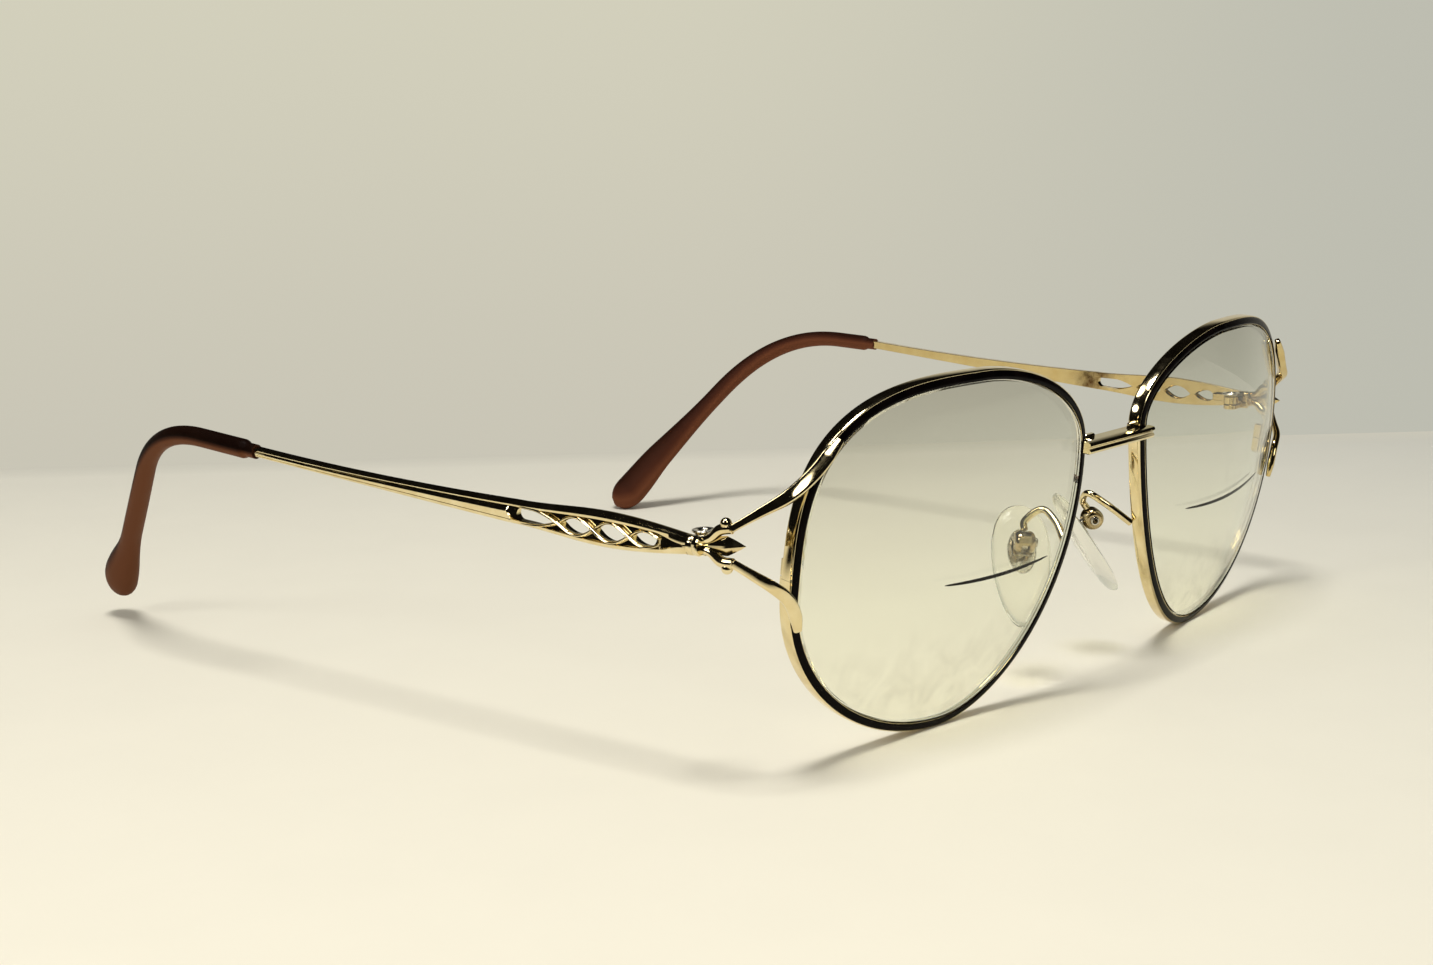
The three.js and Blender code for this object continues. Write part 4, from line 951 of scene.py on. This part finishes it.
def collar_shell():
    outer = HINGE.x + BAR_OFFSET + COLLAR_THICK / 2
    inner = outer - COLLAR_THICK
    back = HINGE.y - JOINT_LEAD - SOLDER_GAP
    half = COLLAR_TALL / 2
    section = mirrored([
        (inner, half - 0.4), (inner + 0.12, half - 0.12), (inner + 0.4, half), (outer - 0.7, half),
        (outer - 0.5, half - 0.1), (outer - 0.08, half - 0.58), (outer, half - 0.8),
    ])
    stations = (0, 0.88), (0.15, 1), (0.8, 1), (0.95, 0.9), (1.1, 0.9), (1.25, 1), (1.75, 1), (1.9, 0.86)
    rings = []
    for along, size in stations:
        flat = scaled(section, (inner + outer) / 2, size)
        rings.append([Vector((x, back - along, HINGE.z + z)) for x, z in flat])
    return skin(rings)


def arm_shell(way, thin, thick, level, lap, rest, square, root_facing, end_facing):
    start = arm_root(way)
    corner = length_at_level(level, True)
    depth = RIM_FRONT - thick * ARM_FLATNESS - SOLDER_GAP
    on_rim = [rim_point(corner + lap * s, lerp(rest, ARM_FLARE, (1 - s) ** 3), depth) for s in even(4)]
    root = start - (on_rim[0] - start).normalized() * ARM_SUNK
    path = bend_through([root, start.lerp(on_rim[0], 0.5), *on_rim])

    def radii(s):
        radius = lerp(thin, thick, smooth(s, 0, 0.6))
        radius *= lerp(1, 0.6, max(0, s - ARM_TAPER_SHARE) / (1 - ARM_TAPER_SHARE))
        return radius * ARM_FLATNESS, radius

    def facing(s):
        return root_facing.lerp(end_facing, smooth(s, 0.25, 0.8))

    return tube(path, facing, radii, even(90), 28, square=square)


# Hinge, about an upright pin at the origin

def hinge_front_shells():
    wall = BAR_OFFSET - COLLAR_THICK / 2 - SOLDER_GAP
    leaf, knuckle = wall - LEAF_THICK, -BARREL_RADIUS
    shells = [slab(leaf, wall, -FRONT_LEAF_LENGTH, knuckle - 0.2, -OUTER_END, HINGE_SEAT)]
    for low, high in ((OUTER_START, HINGE_SEAT), (-OUTER_END, -OUTER_START)):
        shells += [
            ring_barrel(BARREL_RADIUS, BARREL_BORE, low, high),
            slab(BARREL_BORE + 0.1, wall - 0.2, knuckle, -0.35, low + 0.05, high - 0.05, 0.08),
            slab(leaf, wall, knuckle - 0.3, -0.3, low, high, 0.08),
        ]
    return [shell.moved(Matrix.Translation(HINGE)) for shell in shells]


def hinge_rear_shells():
    wall = BAR_OFFSET - BAR_THICK / 2 - SOLDER_GAP
    end = BARREL_RADIUS + REAR_LEAF_LENGTH
    web = MIDDLE_HALF - 0.03
    shells = [
        ring_barrel(BARREL_RADIUS, BARREL_BORE, -MIDDLE_HALF, MIDDLE_HALF),
        slab(wall - LEAF_THICK, wall, BARREL_RADIUS, end, -MIDDLE_HALF, MIDDLE_HALF, 0.15),
        slab(BARREL_BORE + 0.1, wall - 0.1, 0.35, BARREL_RADIUS + 0.4, -web, web),
    ]
    return [shell.moved(SWING) for shell in shells]


def screw_shell(radius, bottom, seat, head, head_radius, head_height):
    shank = [(radius * 0.3, bottom), (radius * 0.9, bottom + 0.04), (radius, bottom + 0.12), (radius, seat)]
    return lathe(shank + [(head_radius * r, seat + head_height * h) for r, h in head])


def hinge_pin_shell():
    head = RINGED_HEAD, HINGE_HEAD_RADIUS, HINGE_HEAD_HEIGHT
    return screw_shell(HINGE_SCREW_RADIUS, -OUTER_END, HINGE_SEAT, *head).moved(Matrix.Translation(HINGE))


# Temple bar: a long loft whose outer face carries a pocket at the front and a groove behind it

BAR_START = JOINT_GAP - JOINT_LEAD
BAR_TAPER = BAR_LENGTH - OPENWORK_END


def bar_tall(y):
    if y < TALLEST_AT:
        return lerp(NECK_TALL, OPENWORK_TALL, sin(pi / 2 * max(0, y) / TALLEST_AT))
    if y < OPENWORK_END:
        return lerp(OPENWORK_TALL, BAR_TALL, smooth(y, TALLEST_AT, OPENWORK_END))
    left = 1 - (y - OPENWORK_END) / BAR_TAPER
    return lerp(BAR_END_TALL, BAR_TALL, left * left)


def bar_level(y):
    share = y / BAR_LENGTH
    return BAR_RISE * share + BAR_BOW * share * share


def groove_share(y):
    """How far the pocket has turned into the plain groove behind it."""
    return smooth(y, OPENWORK_END, OPENWORK_END + GROOVE_RUN_IN)


def rail_share(y):
    return max(bar_tall(y) / OPENWORK_TALL, THINNEST_RAIL_SHARE)


def pocket_depth(y):
    if y < OPENWORK_START:
        neck = NECK_GROOVE_DEPTH * smooth(y, 0, POCKET_RUN_IN)
        run_in = smooth(y, OPENWORK_START - POCKET_RUN_IN, OPENWORK_START)
        return max(0.01, lerp(neck, POCKET_DEPTH, run_in))
    closing = POCKET_DEPTH * lerp(1, GROOVE_DEPTH_SHARE, groove_share(y))
    return lerp(closing, GROOVE_DEPTH_AT_TIP, max(0, (y - OPENWORK_END) / BAR_TAPER))


def pocket(y):
    """Lower and upper edge of the pocket, which starts as a wedge at the neck."""
    half = bar_tall(y) / 2
    high = half - TOP_RAIL * rail_share(y)
    foot = -half + BOTTOM_RAIL * rail_share(y)
    low = lerp(high, foot, lerp(1, GROOVE_TALL_SHARE, groove_share(y)))
    wedge = (1 - lerp(NECK_GROOVE_SHARE, 1, smooth(y, 0, OPENWORK_START))) * (high - low) / 2
    return low + wedge, high - wedge


def bar_section(y, span):
    """Section of the bar, with four corners for the window that may pass through it."""
    half = bar_tall(y) / 2
    low, high = pocket(y)
    middle, gap = opening(y, span)
    inner, outer = BAR_OFFSET - BAR_THICK / 2, BAR_OFFSET + BAR_THICK / 2
    wall = min(POCKET_WALL, (high - low) * 0.3)
    top, foot = high - wall, low + wall
    slant = lerp(POCKET_SLANT, GROOVE_SLANT, groove_share(y))

    def floor(z):
        return outer - pocket_depth(y) * lerp(slant, 1, (z - foot) / (top - foot))

    ease = 0.06
    bevel = TOP_RAIL * rail_share(y) * TOP_BEVEL_SHARE
    line = -half + 0.5 * min(1, half)
    hair = HAIRLINE_DEPTH * groove_share(y)

    def lower(z):
        return outer - RAIL_LEAN * (low - z)

    points = [
        (inner, -half + ease), (inner, middle - gap), (inner, middle + gap),
        (inner, half - ease), (inner + ease * 0.5, half - ease * 0.5),
        (inner + ease, half), (outer - bevel - 0.05, half), (outer - bevel + 0.03, half - 0.03),
        (outer - 0.03, half - bevel + 0.03), (outer, half - bevel - 0.04),
        (outer - 0.05, high + 0.02), (outer - 0.08, high), (floor(top), top),
        (floor(middle + gap), middle + gap), (floor(middle - gap), middle - gap),
        (floor(foot), foot), (outer - 0.03, low), (outer, low - 0.03),
        (lower(line + 0.06), line + 0.06), (lower(line) - hair, line), (lower(line - 0.06), line - 0.06),
        (lower(-half + 0.26), -half + 0.26), (lower(-half + 0.18) - 0.03, -half + 0.18),
        (outer - 0.36, -half + 0.02), (outer - 0.44, -half), (inner + ease, -half),
        (inner + ease * 0.5, -half + ease * 0.5),
    ]
    return [Vector((x, y, bar_level(y) + z)) for x, z in points]


def twist_phase(y):
    if y < LAST_CROSSING:
        return pi * (y - LAST_CROSSING) / CROSSING_PITCH
    parting = (y - LAST_CROSSING) / (STRANDS_PART_SHARE * (OPENWORK_END - LAST_CROSSING))
    return pi / 2 * min(1, parting)


def swing(y):
    low, high = pocket(y)
    merging = smooth(y, LAST_CROSSING, OPENWORK_END)
    inset = lerp(STRAND_INSET["crossing"], STRAND_INSET["rear"], merging)
    return (low + high) / 2, (high - low) / 2 - STRAND_RADIUS * inset


def strand_shell(turn):
    points = []
    for y in even(400, OPENWORK_START - 0.8, OPENWORK_END + 0.2):
        phase = twist_phase(y) + turn
        middle, reach = swing(y)
        x = BAR_OFFSET + BAR_THICK / 2 - STRAND_SINK + STRAND_TWIST * cos(phase)
        x -= STRAND_REAR_SINK * smooth(y, OPENWORK_END - 2.5, OPENWORK_END)
        points.append(Vector((x, y, bar_level(y) + middle + reach * sin(phase))))
    radii = STRAND_DEEP * 0.95, STRAND_RADIUS * 0.85
    return tube(Path(points), X_AXIS, radii, even(150), 14).moved(SWING)


def windows():
    """Start and end of each opening between the crossings of the strands."""
    spans, end, y = [], OPENWORK_END - WINDOW_END, LAST_CROSSING
    while end > OPENWORK_START + 1:
        spans.append((max(y + CROSSING_HALF, OPENWORK_START), end))
        end = y - CROSSING_HALF
        y -= CROSSING_PITCH
    return spans


def opening(y, span):
    """Middle and half height of the window at a place, rounded off towards its ends."""
    low, high = pocket(y)
    middle, reach = swing(y)
    room = max(0.02, (high - low) / 2 - POCKET_WALL - 0.07)
    if not span:
        return middle, min(0.04, room)
    half = reach * abs(sin(twist_phase(y))) - STRAND_RADIUS * 0.3
    inside = min(1, (y - span[0]) / WINDOW_ROUND, (span[1] - y) / WINDOW_ROUND)
    return middle, max(0.04, min(half, room) * sqrt(max(0, 1 - (1 - inside) ** 2)))


INNER_LOW, INNER_HIGH, FLOOR_HIGH, FLOOR_LOW = 1, 2, 13, 14


def bar_shell():
    spans = windows()
    ends = [y for span in spans for y in span]
    fine = [y for y in even(170, BAR_START, OPENWORK_END + 1.4) if min(abs(y - e) for e in ends) > 0.03]
    stations = sorted(fine + ends) + even(46, OPENWORK_END + 2.4, BAR_LENGTH)

    def span_at(y):
        return next((span for span in spans if span[0] <= y <= span[1]), None)

    rings = [bar_section(y, span_at(y)) for y in stations]
    whole = skin(rings)
    count = len(rings[0])
    opened, walls = set(), []
    for i in range(len(stations) - 1):
        if span_at((stations[i] + stations[i + 1]) / 2):
            a, b = i * count, (i + 1) * count
            opened |= {a + INNER_LOW, a + FLOOR_HIGH}
            walls.append((a + INNER_HIGH, a + FLOOR_HIGH, b + FLOOR_HIGH, b + INNER_HIGH))
            walls.append((a + FLOOR_LOW, a + INNER_LOW, b + INNER_LOW, b + FLOOR_LOW))
    for y in ends:
        a = stations.index(y) * count
        walls.append((a + INNER_LOW, a + INNER_HIGH, a + FLOOR_HIGH, a + FLOOR_LOW))
    faces = [face for i, face in enumerate(whole.faces) if i not in opened]
    return Shell(whole.points, faces + walls).moved(SWING)


def tip_path(side):
    start = Vector((BAR_OFFSET, BAR_LENGTH, bar_level(BAR_LENGTH)))
    corner = start + Vector((TIP_FLARE[side], TIP_STRAIGHT[side], TIP_RISE[side]))
    end = corner + Vector((-TIP_INSET[side], TIP_RUN[side], -TIP_DROP[side]))
    bend_start = corner - (corner - start).normalized() * TIP_BEND[side]
    bend_end = corner + (end - corner).normalized() * TIP_BEND[side]
    bend = [bend_start.lerp(corner, t).lerp(corner.lerp(bend_end, t), t) for t in even(160)]
    straight = [start.lerp(bend_start, t) for t in even(60)][:-1]
    leg = [bend_end.lerp(end, t) for t in even(120)][1:]
    return Path(straight + bend + leg)


def core_shell(side):
    path = tip_path(side)
    stations = even(60, 0, CORE_LENGTH / path.length)
    return tube(path, X_AXIS, (CORE_RADIUS, CORE_RADIUS), stations, 14).moved(SWING)


def tip_shell(side):
    path = tip_path(side)
    mouth = 2 * SOLDER_GAP / path.length
    bend = (TIP_STRAIGHT[side] - TIP_BEND[side]) / path.length

    def size(s):
        lip = lerp(TIP_LIP_SCALE, 1, smooth(s, mouth + TIP_LIP_SHARE * 0.6, mouth + TIP_LIP_SHARE))
        leg = smooth(s, bend, TIP_PADDLE_SHARE[side])
        wide = smooth(s, TIP_PADDLE_SHARE[side], TIP_BLUNT_SHARE)
        deep = smooth(s, TIP_PADDLE_THICK_SHARE, TIP_BLUNT_SHARE)
        tall = lerp(lerp(TIP_TALL, TIP_LEG_TALL[side], leg), TIP_PADDLE_TALL, wide)
        thick = lerp(lerp(TIP_THICK, TIP_LEG_THICK, leg), TIP_PADDLE_THICK, deep)
        ending = max(0, s - TIP_BLUNT_SHARE) / (1 - TIP_BLUNT_SHARE)
        blunt = sqrt(max(0.01, 1 - ending ** 2))
        return thick / 2 * lip * blunt, tall / 2 * lip * blunt

    def kick(s):
        return TIP_KICK[side] * smooth(s, TIP_PADDLE_THICK_SHARE, TIP_BLUNT_SHARE)

    stations = even(16, mouth, mouth + 2 * TIP_LIP_SHARE)
    stations += even(80, mouth + 2.4 * TIP_LIP_SHARE, TIP_BLUNT_SHARE)
    stations += [1 - (1 - TIP_BLUNT_SHARE) * cos(pi / 2 * k / 10) for k in range(1, 11)]
    shell = tube(path, X_AXIS, size, stations, 28, round_ends=False, shift=kick)
    return shell.moved(SWING)


# Nose pads: local X runs along the screw, Y to the nose and Z up the pad

def pad_matrix():
    place = Vector((PAD_SCREW_OUT, PAD_SCREW_BACK, FRONT_HEIGHT + PAD_SCREW_LEVEL))
    lean = sin(radians(PAD_SPREAD_DEG))
    up = Vector((-lean * 0.85, lean * 0.6, 0.82)).normalized()
    yaw = radians(PAD_YAW_DEG)
    level = Vector((cos(yaw), sin(yaw), 0))
    across = (level - up * level.dot(up)).normalized()
    inward = up.cross(across)
    turn = Matrix((across, inward, up)).transposed().to_4x4()
    return Matrix.Translation(place) @ turn


PAD = pad_matrix()
ALONG_SCREW = Matrix.Rotation(pi / 2, 4, "Y")


def pad_ring(scale, depth):
    ring = []
    for turn in turns(64):
        belly = 1 + 0.22 * sin(turn)
        x = PAD_WIDTH / 2 * cos(turn) * belly * (1 - 0.1 * abs(cos(turn)))
        z = PAD_LENGTH / 2 * sin(turn)
        ring.append(Vector((x * scale, PAD_STANDOFF + depth, z * scale - PAD_BELOW_SCREW)))
    return ring


def nose_pad_shell():
    half = PAD_THICK / 2
    front = [(0.05, 1), (0.4, 0.99), (0.66, 0.95)]
    edge = [(0.66 + 0.34 * sin(t), 0.95 * cos(t)) for t in even(10, 0.25, pi - 0.25)]
    back = [(0.74, -0.97), (0.5, -1), (0.05, -1)]
    rings = [(scale, depth * half * (PAD_SWELL if depth > 0 else 1)) for scale, depth in front + edge + back]
    return skin([pad_ring(scale, depth) for scale, depth in rings]).moved(PAD)


def oval_shell(length, width, back, front, ease=0.12):
    def ring(inset, y):
        a, b = width / 2 - inset, length / 2 - inset
        return [Vector((a * cos(t), y, INSERT_LEVEL + b * sin(t))) for t in turns(40)]

    return skin([ring(ease, back), ring(0, back + ease), ring(0, front - ease), ring(ease, front)])


def recess_shell():
    seat = PAD_STANDOFF - PAD_THICK / 2
    length, width = INSERT_LENGTH + RECESS_GAP, INSERT_WIDTH + RECESS_GAP
    return oval_shell(length, width, seat - 1, seat + INSERT_THICK + 0.1).moved(PAD)


def insert_shells():
    back = PAD_STANDOFF - PAD_THICK / 2
    root = back + INSERT_THICK / 2
    lug = ring_barrel(LUG_RADIUS, PAD_SCREW_RADIUS + PIN_CLEARANCE, -LUG_THICK / 2, LUG_THICK / 2, 0.08)
    shells = [
        oval_shell(INSERT_LENGTH, INSERT_WIDTH, back, back + INSERT_THICK),
        slab(-BOX_WIDTH / 2, BOX_WIDTH / 2, BOX_RADIUS + FOOT_GAP, root, -FOOT_DOWN, FOOT_UP, 0.15),
        slab(-LUG_THICK / 2, LUG_THICK / 2, 0.75, root, -LUG_RADIUS * 0.7, LUG_RADIUS * 0.7, 0.08),
        lug.moved(ALONG_SCREW),
    ]
    return [shell.moved(PAD) for shell in shells]


def pad_box():
    """Barrel of the pad box, with the slot and the bore to cut from it."""
    half, ease = BOX_WIDTH / 2, BOX_RADIUS * 0.5
    outline = [(BOX_RADIUS * 0.45, -half)]
    for t in even(8, 0, pi / 2):
        outline.append((BOX_RADIUS - ease + ease * sin(t), -half + ease * (1 - cos(t))))
    barrel = lathe(mirrored(outline)).moved(PAD @ ALONG_SCREW)
    slot = slab(-BOX_SLOT / 2, BOX_SLOT / 2, -LUG_RADIUS - 0.15, BOX_RADIUS + 1, -9, 9, 0.01).moved(PAD)
    bore_radius = PAD_SCREW_RADIUS + PIN_CLEARANCE
    bore = lathe([(bore_radius, -5), (bore_radius, 5)]).moved(PAD @ ALONG_SCREW)
    return barrel, [slot, bore]


def pad_screw():
    """Pad screw, with the hollow to cut from its head."""
    half = BOX_WIDTH / 2
    seat = half + PIN_CLEARANCE
    turn = PAD @ Matrix.Rotation(-pi / 2, 4, "Y")
    body = screw_shell(PAD_SCREW_RADIUS, -half, seat, DOMED_HEAD, PAD_HEAD_RADIUS, PAD_HEAD_HEIGHT)
    radius = PAD_HEAD_RADIUS * PAD_HOLLOW_SHARE
    hollow = lathe([(radius, seat - PAD_HOLLOW_DEPTH), (radius, seat + 1)])
    return body.moved(turn), [hollow.moved(turn)]


def pad_arm_shell():
    length = length_at_level(PAD_ARM_LEVEL, False)
    root = rim_point(length, RIM_FACE / 2 + 0.8 * PAD_ARM_RADIUS + SOLDER_GAP, RIM_BACK - PAD_ARM_RADIUS)
    screw_at = PAD.translation
    shoulder = screw_at + Vector((-PAD_ARM_INWARD * 0.8, -PAD_ARM_FORWARD, PAD_ARM_RISE * 0.72))
    top = screw_at + Vector((-PAD_ARM_INWARD, -PAD_ARM_FORWARD * 0.3, PAD_ARM_RISE))
    entry = PAD @ Vector((0, -0.2, BOX_RADIUS + 1.3))
    mouth = PAD @ Vector((0, -0.2, BOX_RADIUS + SOLDER_GAP + 0.03))
    path = bend_through([root, shoulder, top, entry, mouth])
    return tube(path, X_AXIS, (PAD_ARM_RADIUS, PAD_ARM_RADIUS), even(90), 20)


# Assembly of the visual pieces

def dress_node(name, material, ease_mm):
    """A carried-over solid gets its finish and eased edges."""
    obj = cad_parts[name]
    obj.data.materials.clear()
    obj.data.materials.append(material)
    bevel = obj.modifiers.new("ease", "BEVEL")
    bevel.width = ease_mm * MM
    bevel.segments = 2
    bevel.limit_method = "ANGLE"


def dress_front(side):
    piece("rim_wire", side, [rim_shell()], "front", "enamelled_rim", "rim", GOLD, ENAMEL)
    piece("lens_glass", side, [lens_shell()], "front", "tinted_lens", "lens", GLASS)
    piece("reading_ledge", side, [ledge_shell(side)], "front", "tinted_lens", None, LEDGE)
    gold_piece("tulip_collar", side, [collar_shell()], "front", "endpiece")
    gold_piece("tulip_spike", side, [centre_leaf()], "front", "endpiece", sharp_deg=22)
    for word, arm in ARMS.items():
        leaf = [curling_leaf(arm["way"]), bud_shell(arm["way"])]
        gold_piece(f"tulip_leaf_{word}", side, leaf, "front", "endpiece")
        gold_piece(f"{word}_arm_wire", side, [arm_shell(**arm)], "front", f"{word}_arm")
        dress_node(f"closing_block_{word}_{side}", GOLD, 0.08)
    dress_node(f"closing_screw_{side}", STEEL, 0.03)


def dress_temple(side):
    """Hinge, bar, strands and tip."""
    arm = f"temple_arm_{side}"
    gold_piece("hinge_knuckles", side, hinge_front_shells(), "front", "hinge_front")
    gold_piece("hinge_tongue", side, hinge_rear_shells(), arm, "hinge_rear")
    piece("hinge_pin", side, [hinge_pin_shell()], "front", "screw_steel", "hinge_screw", STEEL)
    gold_piece("temple_bar", side, [bar_shell()], arm, "temple", sharp_deg=28)
    for word, turn in (("first", 0), ("second", pi)):
        gold_piece(f"twist_{word}", side, [strand_shell(turn)], arm, "temple")
    gold_piece("tip_core", side, [core_shell(side)], arm, "temple")
    piece("tip_sleeve", side, [tip_shell(side)], arm, "tip_plastic", "temple_tip", PLASTIC)


def dress_pad(side):
    pad = f"pad_{side}"
    gold_piece("pad_wire", side, [pad_arm_shell()], "front", "pad_arm")
    barrel, cuts = pad_box()
    piece("pad_barrel", side, [barrel], "front", "gold_metal", "pad_box", DARK_GOLD, cuts=cuts)
    pin, cuts = pad_screw()
    piece("pad_pin", side, [pin], "front", "screw_steel", "pad_screw", STEEL, cuts=cuts)
    rest, cuts = [nose_pad_shell()], [recess_shell()]
    piece("nose_rest", side, rest, pad, "clear_pad", "nose_pad", CLEAR, cuts=cuts, sharp_deg=50)
    piece("pad_plate", side, insert_shells(), pad, "screw_steel", "pad_insert", STEEL)


gold_piece("bridge_bar", None, bridge_shells(), "front", "bridge", sharp_deg=30)
for one_side in ("left", "right"):
    dress_front(one_side)
    dress_temple(one_side)
    dress_pad(one_side)


# Floor that turns to the wall's colour behind the object and far from it

def view_ways():
    """Level directions ahead of the camera and to its right."""
    way = Vector(CAMERA_TARGET) - Vector(CAMERA_AT)
    ahead = Vector((way.x, way.y, 0)).normalized()
    return ahead, Vector((ahead.y, -ahead.x, 0))


def floor_material():
    finish = Finish("studio_floor", Roughness=0.7, Specular_IOR_Level=0.2)
    ahead, right = view_ways()
    times, rest_of = finish.times, finish.rest_of

    def across(way, start, end):
        spot = finish.along(finish.place, way)
        origin = Vector(CAMERA_AT).dot(way)
        return finish.range(spot, 0, 1, (origin + start) * MM, (origin + end) * MM)

    # Painted light and shade: lighter near the camera, darker far off and to its right; the grain is the
    # floor's own.
    pale = finish.ramp(across(ahead, NEAR_AT, WALL_AT), (0, FLOOR_NEAR), (1, FLOOR_FAR))
    aside = finish.ramp(across(right, *SHADED_FROM), (0, (1, 1, 1)), (1, FLOOR_SHADE))
    grain = finish.clouds(60, 3, (0.3, (1, 1, 1)), (0.7, (0.985, 0.985, 0.985)))
    pale = finish.blend(1.0, pale, aside, "MULTIPLY")
    finish.paint(finish.blend(1.0, pale, grain, "MULTIPLY"))
    wall = across(ahead, WALL_AT - WALL_BLUR / 2, WALL_AT + WALL_BLUR / 2)
    beside = times(across(right, *FADE_ASIDE), across(-right, *FADE_ASIDE))
    shown = times(rest_of(wall), beside, across(ahead, *FADE_BEHIND))
    table = finish.either(shown, finish.glow("Emission", WALL_LOW), finish.surface)
    # Painted reflection: beyond set distances the floor turns to the dark room for mirrored rays.
    left = times(rest_of(across(right, *MIRRORED_LEFT)), rest_of(across(ahead, *MIRRORED_DEEP)))
    near = times(across(ahead, *MIRRORED_FROM), across(right, *MIRRORED_RIGHT), rest_of(left))
    mirror = times(finish.rays("Glossy"), rest_of(finish.rays("Transmission")))
    dark = finish.glow("Emission", ROOM_DARK)
    finish.feed(finish.output, finish.either(times(mirror, rest_of(near)), table, dark))
    return finish.material


def make_floor():
    ahead, right = view_ways()
    start = Vector((CAMERA_AT[0], CAMERA_AT[1], 0))
    end = WALL_AT + WALL_BLUR / 2
    places = ((-1, -FLOOR_BEHIND), (1, -FLOOR_BEHIND), (1, end), (-1, end))
    corners = [(start + right * side * FLOOR_SIDE + ahead * reach) * MM for side, reach in places]
    mesh = bpy.data.meshes.new("studio_floor")
    mesh.from_pydata(corners, [], [(0, 1, 2, 3)])
    mesh.materials.append(floor_material())
    obj = bpy.data.objects.new("studio_floor", mesh)
    bpy.context.scene.collection.objects.link(obj)


# Light: two soft lamps, an even fill, and a room for the metal to mirror

def make_world():
    world = bpy.data.worlds.new("studio")
    bpy.context.scene.world = world
    world.use_nodes = True
    nodes = Nodes(world.node_tree)
    way = nodes.add("TexCoord", {}, "Generated")
    level = nodes.add("SeparateXYZ", {0: way}, "Z")
    ahead, right = view_ways()

    def share(source, start, end):
        return nodes.range(source, 0, 1, start, end, interpolation_type="SMOOTHSTEP")

    # Painted reflection: mirrored rays see a dark room, pale only ahead and near the horizon.
    aside = nodes.along(way, right)
    high = nodes.times(share(level, *ROOM_LEVEL_RIGHT), share(aside, *ROOM_RIGHT))
    low = nodes.math("MAXIMUM", high, share(level, *ROOM_LEVEL))
    pale = nodes.times(low, share(nodes.along(way, ahead), *ROOM_AHEAD))
    # Painted highlights: two bright spots that only mirrored rays see.
    room = nodes.blend(pale, ROOM_DARK, WALL_LOW)
    for glint in GLINT_WAYS:
        spot = share(nodes.along(way, Vector(glint).normalized()), *GLINT_EDGE)
        room = nodes.blend(spot, room, PAINTED_GLINT)
    # Painted light and shade: the wall is lighter higher up and darker to the camera's right.
    wall = nodes.blend(share(level, *WALL_RISE), WALL_LOW, WALL_HIGH)
    wall = nodes.blend(share(aside, *WALL_TURN), wall, WALL_ASIDE)
    fill = nodes.glow("Background", FILL_COLOUR, FILL)
    lit = nodes.either(nodes.rays("Glossy"), fill, nodes.glow("Background", room))
    seen = nodes.math("MAXIMUM", nodes.rays("Camera"), nodes.rays("Transmission"))
    shown = nodes.either(seen, lit, nodes.glow("Background", wall))
    nodes.feed(nodes.tree.nodes.new("ShaderNodeOutputWorld").inputs["Surface"], shown)


def make_lamp(name, at, target, size, power):
    light = bpy.data.lights.new(name, "AREA")
    light.shape = "DISK"
    light.size = size
    light.energy = power
    obj = bpy.data.objects.new(name, light)
    obj.location = at
    obj.rotation_euler = (Vector(target) - Vector(at)).to_track_quat("-Z", "Y").to_euler()
    bpy.context.scene.collection.objects.link(obj)


def make_camera():
    data = bpy.data.cameras.new("camera")
    data.lens = CAMERA_LENS
    data.sensor_fit = "HORIZONTAL"
    data.sensor_width = SENSOR_WIDTH
    data.clip_start = 0.005
    obj = bpy.data.objects.new("camera", data)
    at, target = Vector(CAMERA_AT) * MM, Vector(CAMERA_TARGET) * MM
    turn = (target - at).to_track_quat("-Z", "Y").to_matrix().to_4x4()
    roll = Matrix.Rotation(radians(CAMERA_ROLL_DEG), 4, "Z")
    obj.matrix_world = Matrix.Translation(at) @ turn @ roll
    bpy.context.scene.collection.objects.link(obj)
    bpy.context.scene.camera = obj


make_camera()
make_floor()
make_world()
make_lamp("overhead", **OVERHEAD_LAMP)
make_lamp("side", **SIDE_LAMP)
bpy.context.scene.view_settings.view_transform = "Standard"
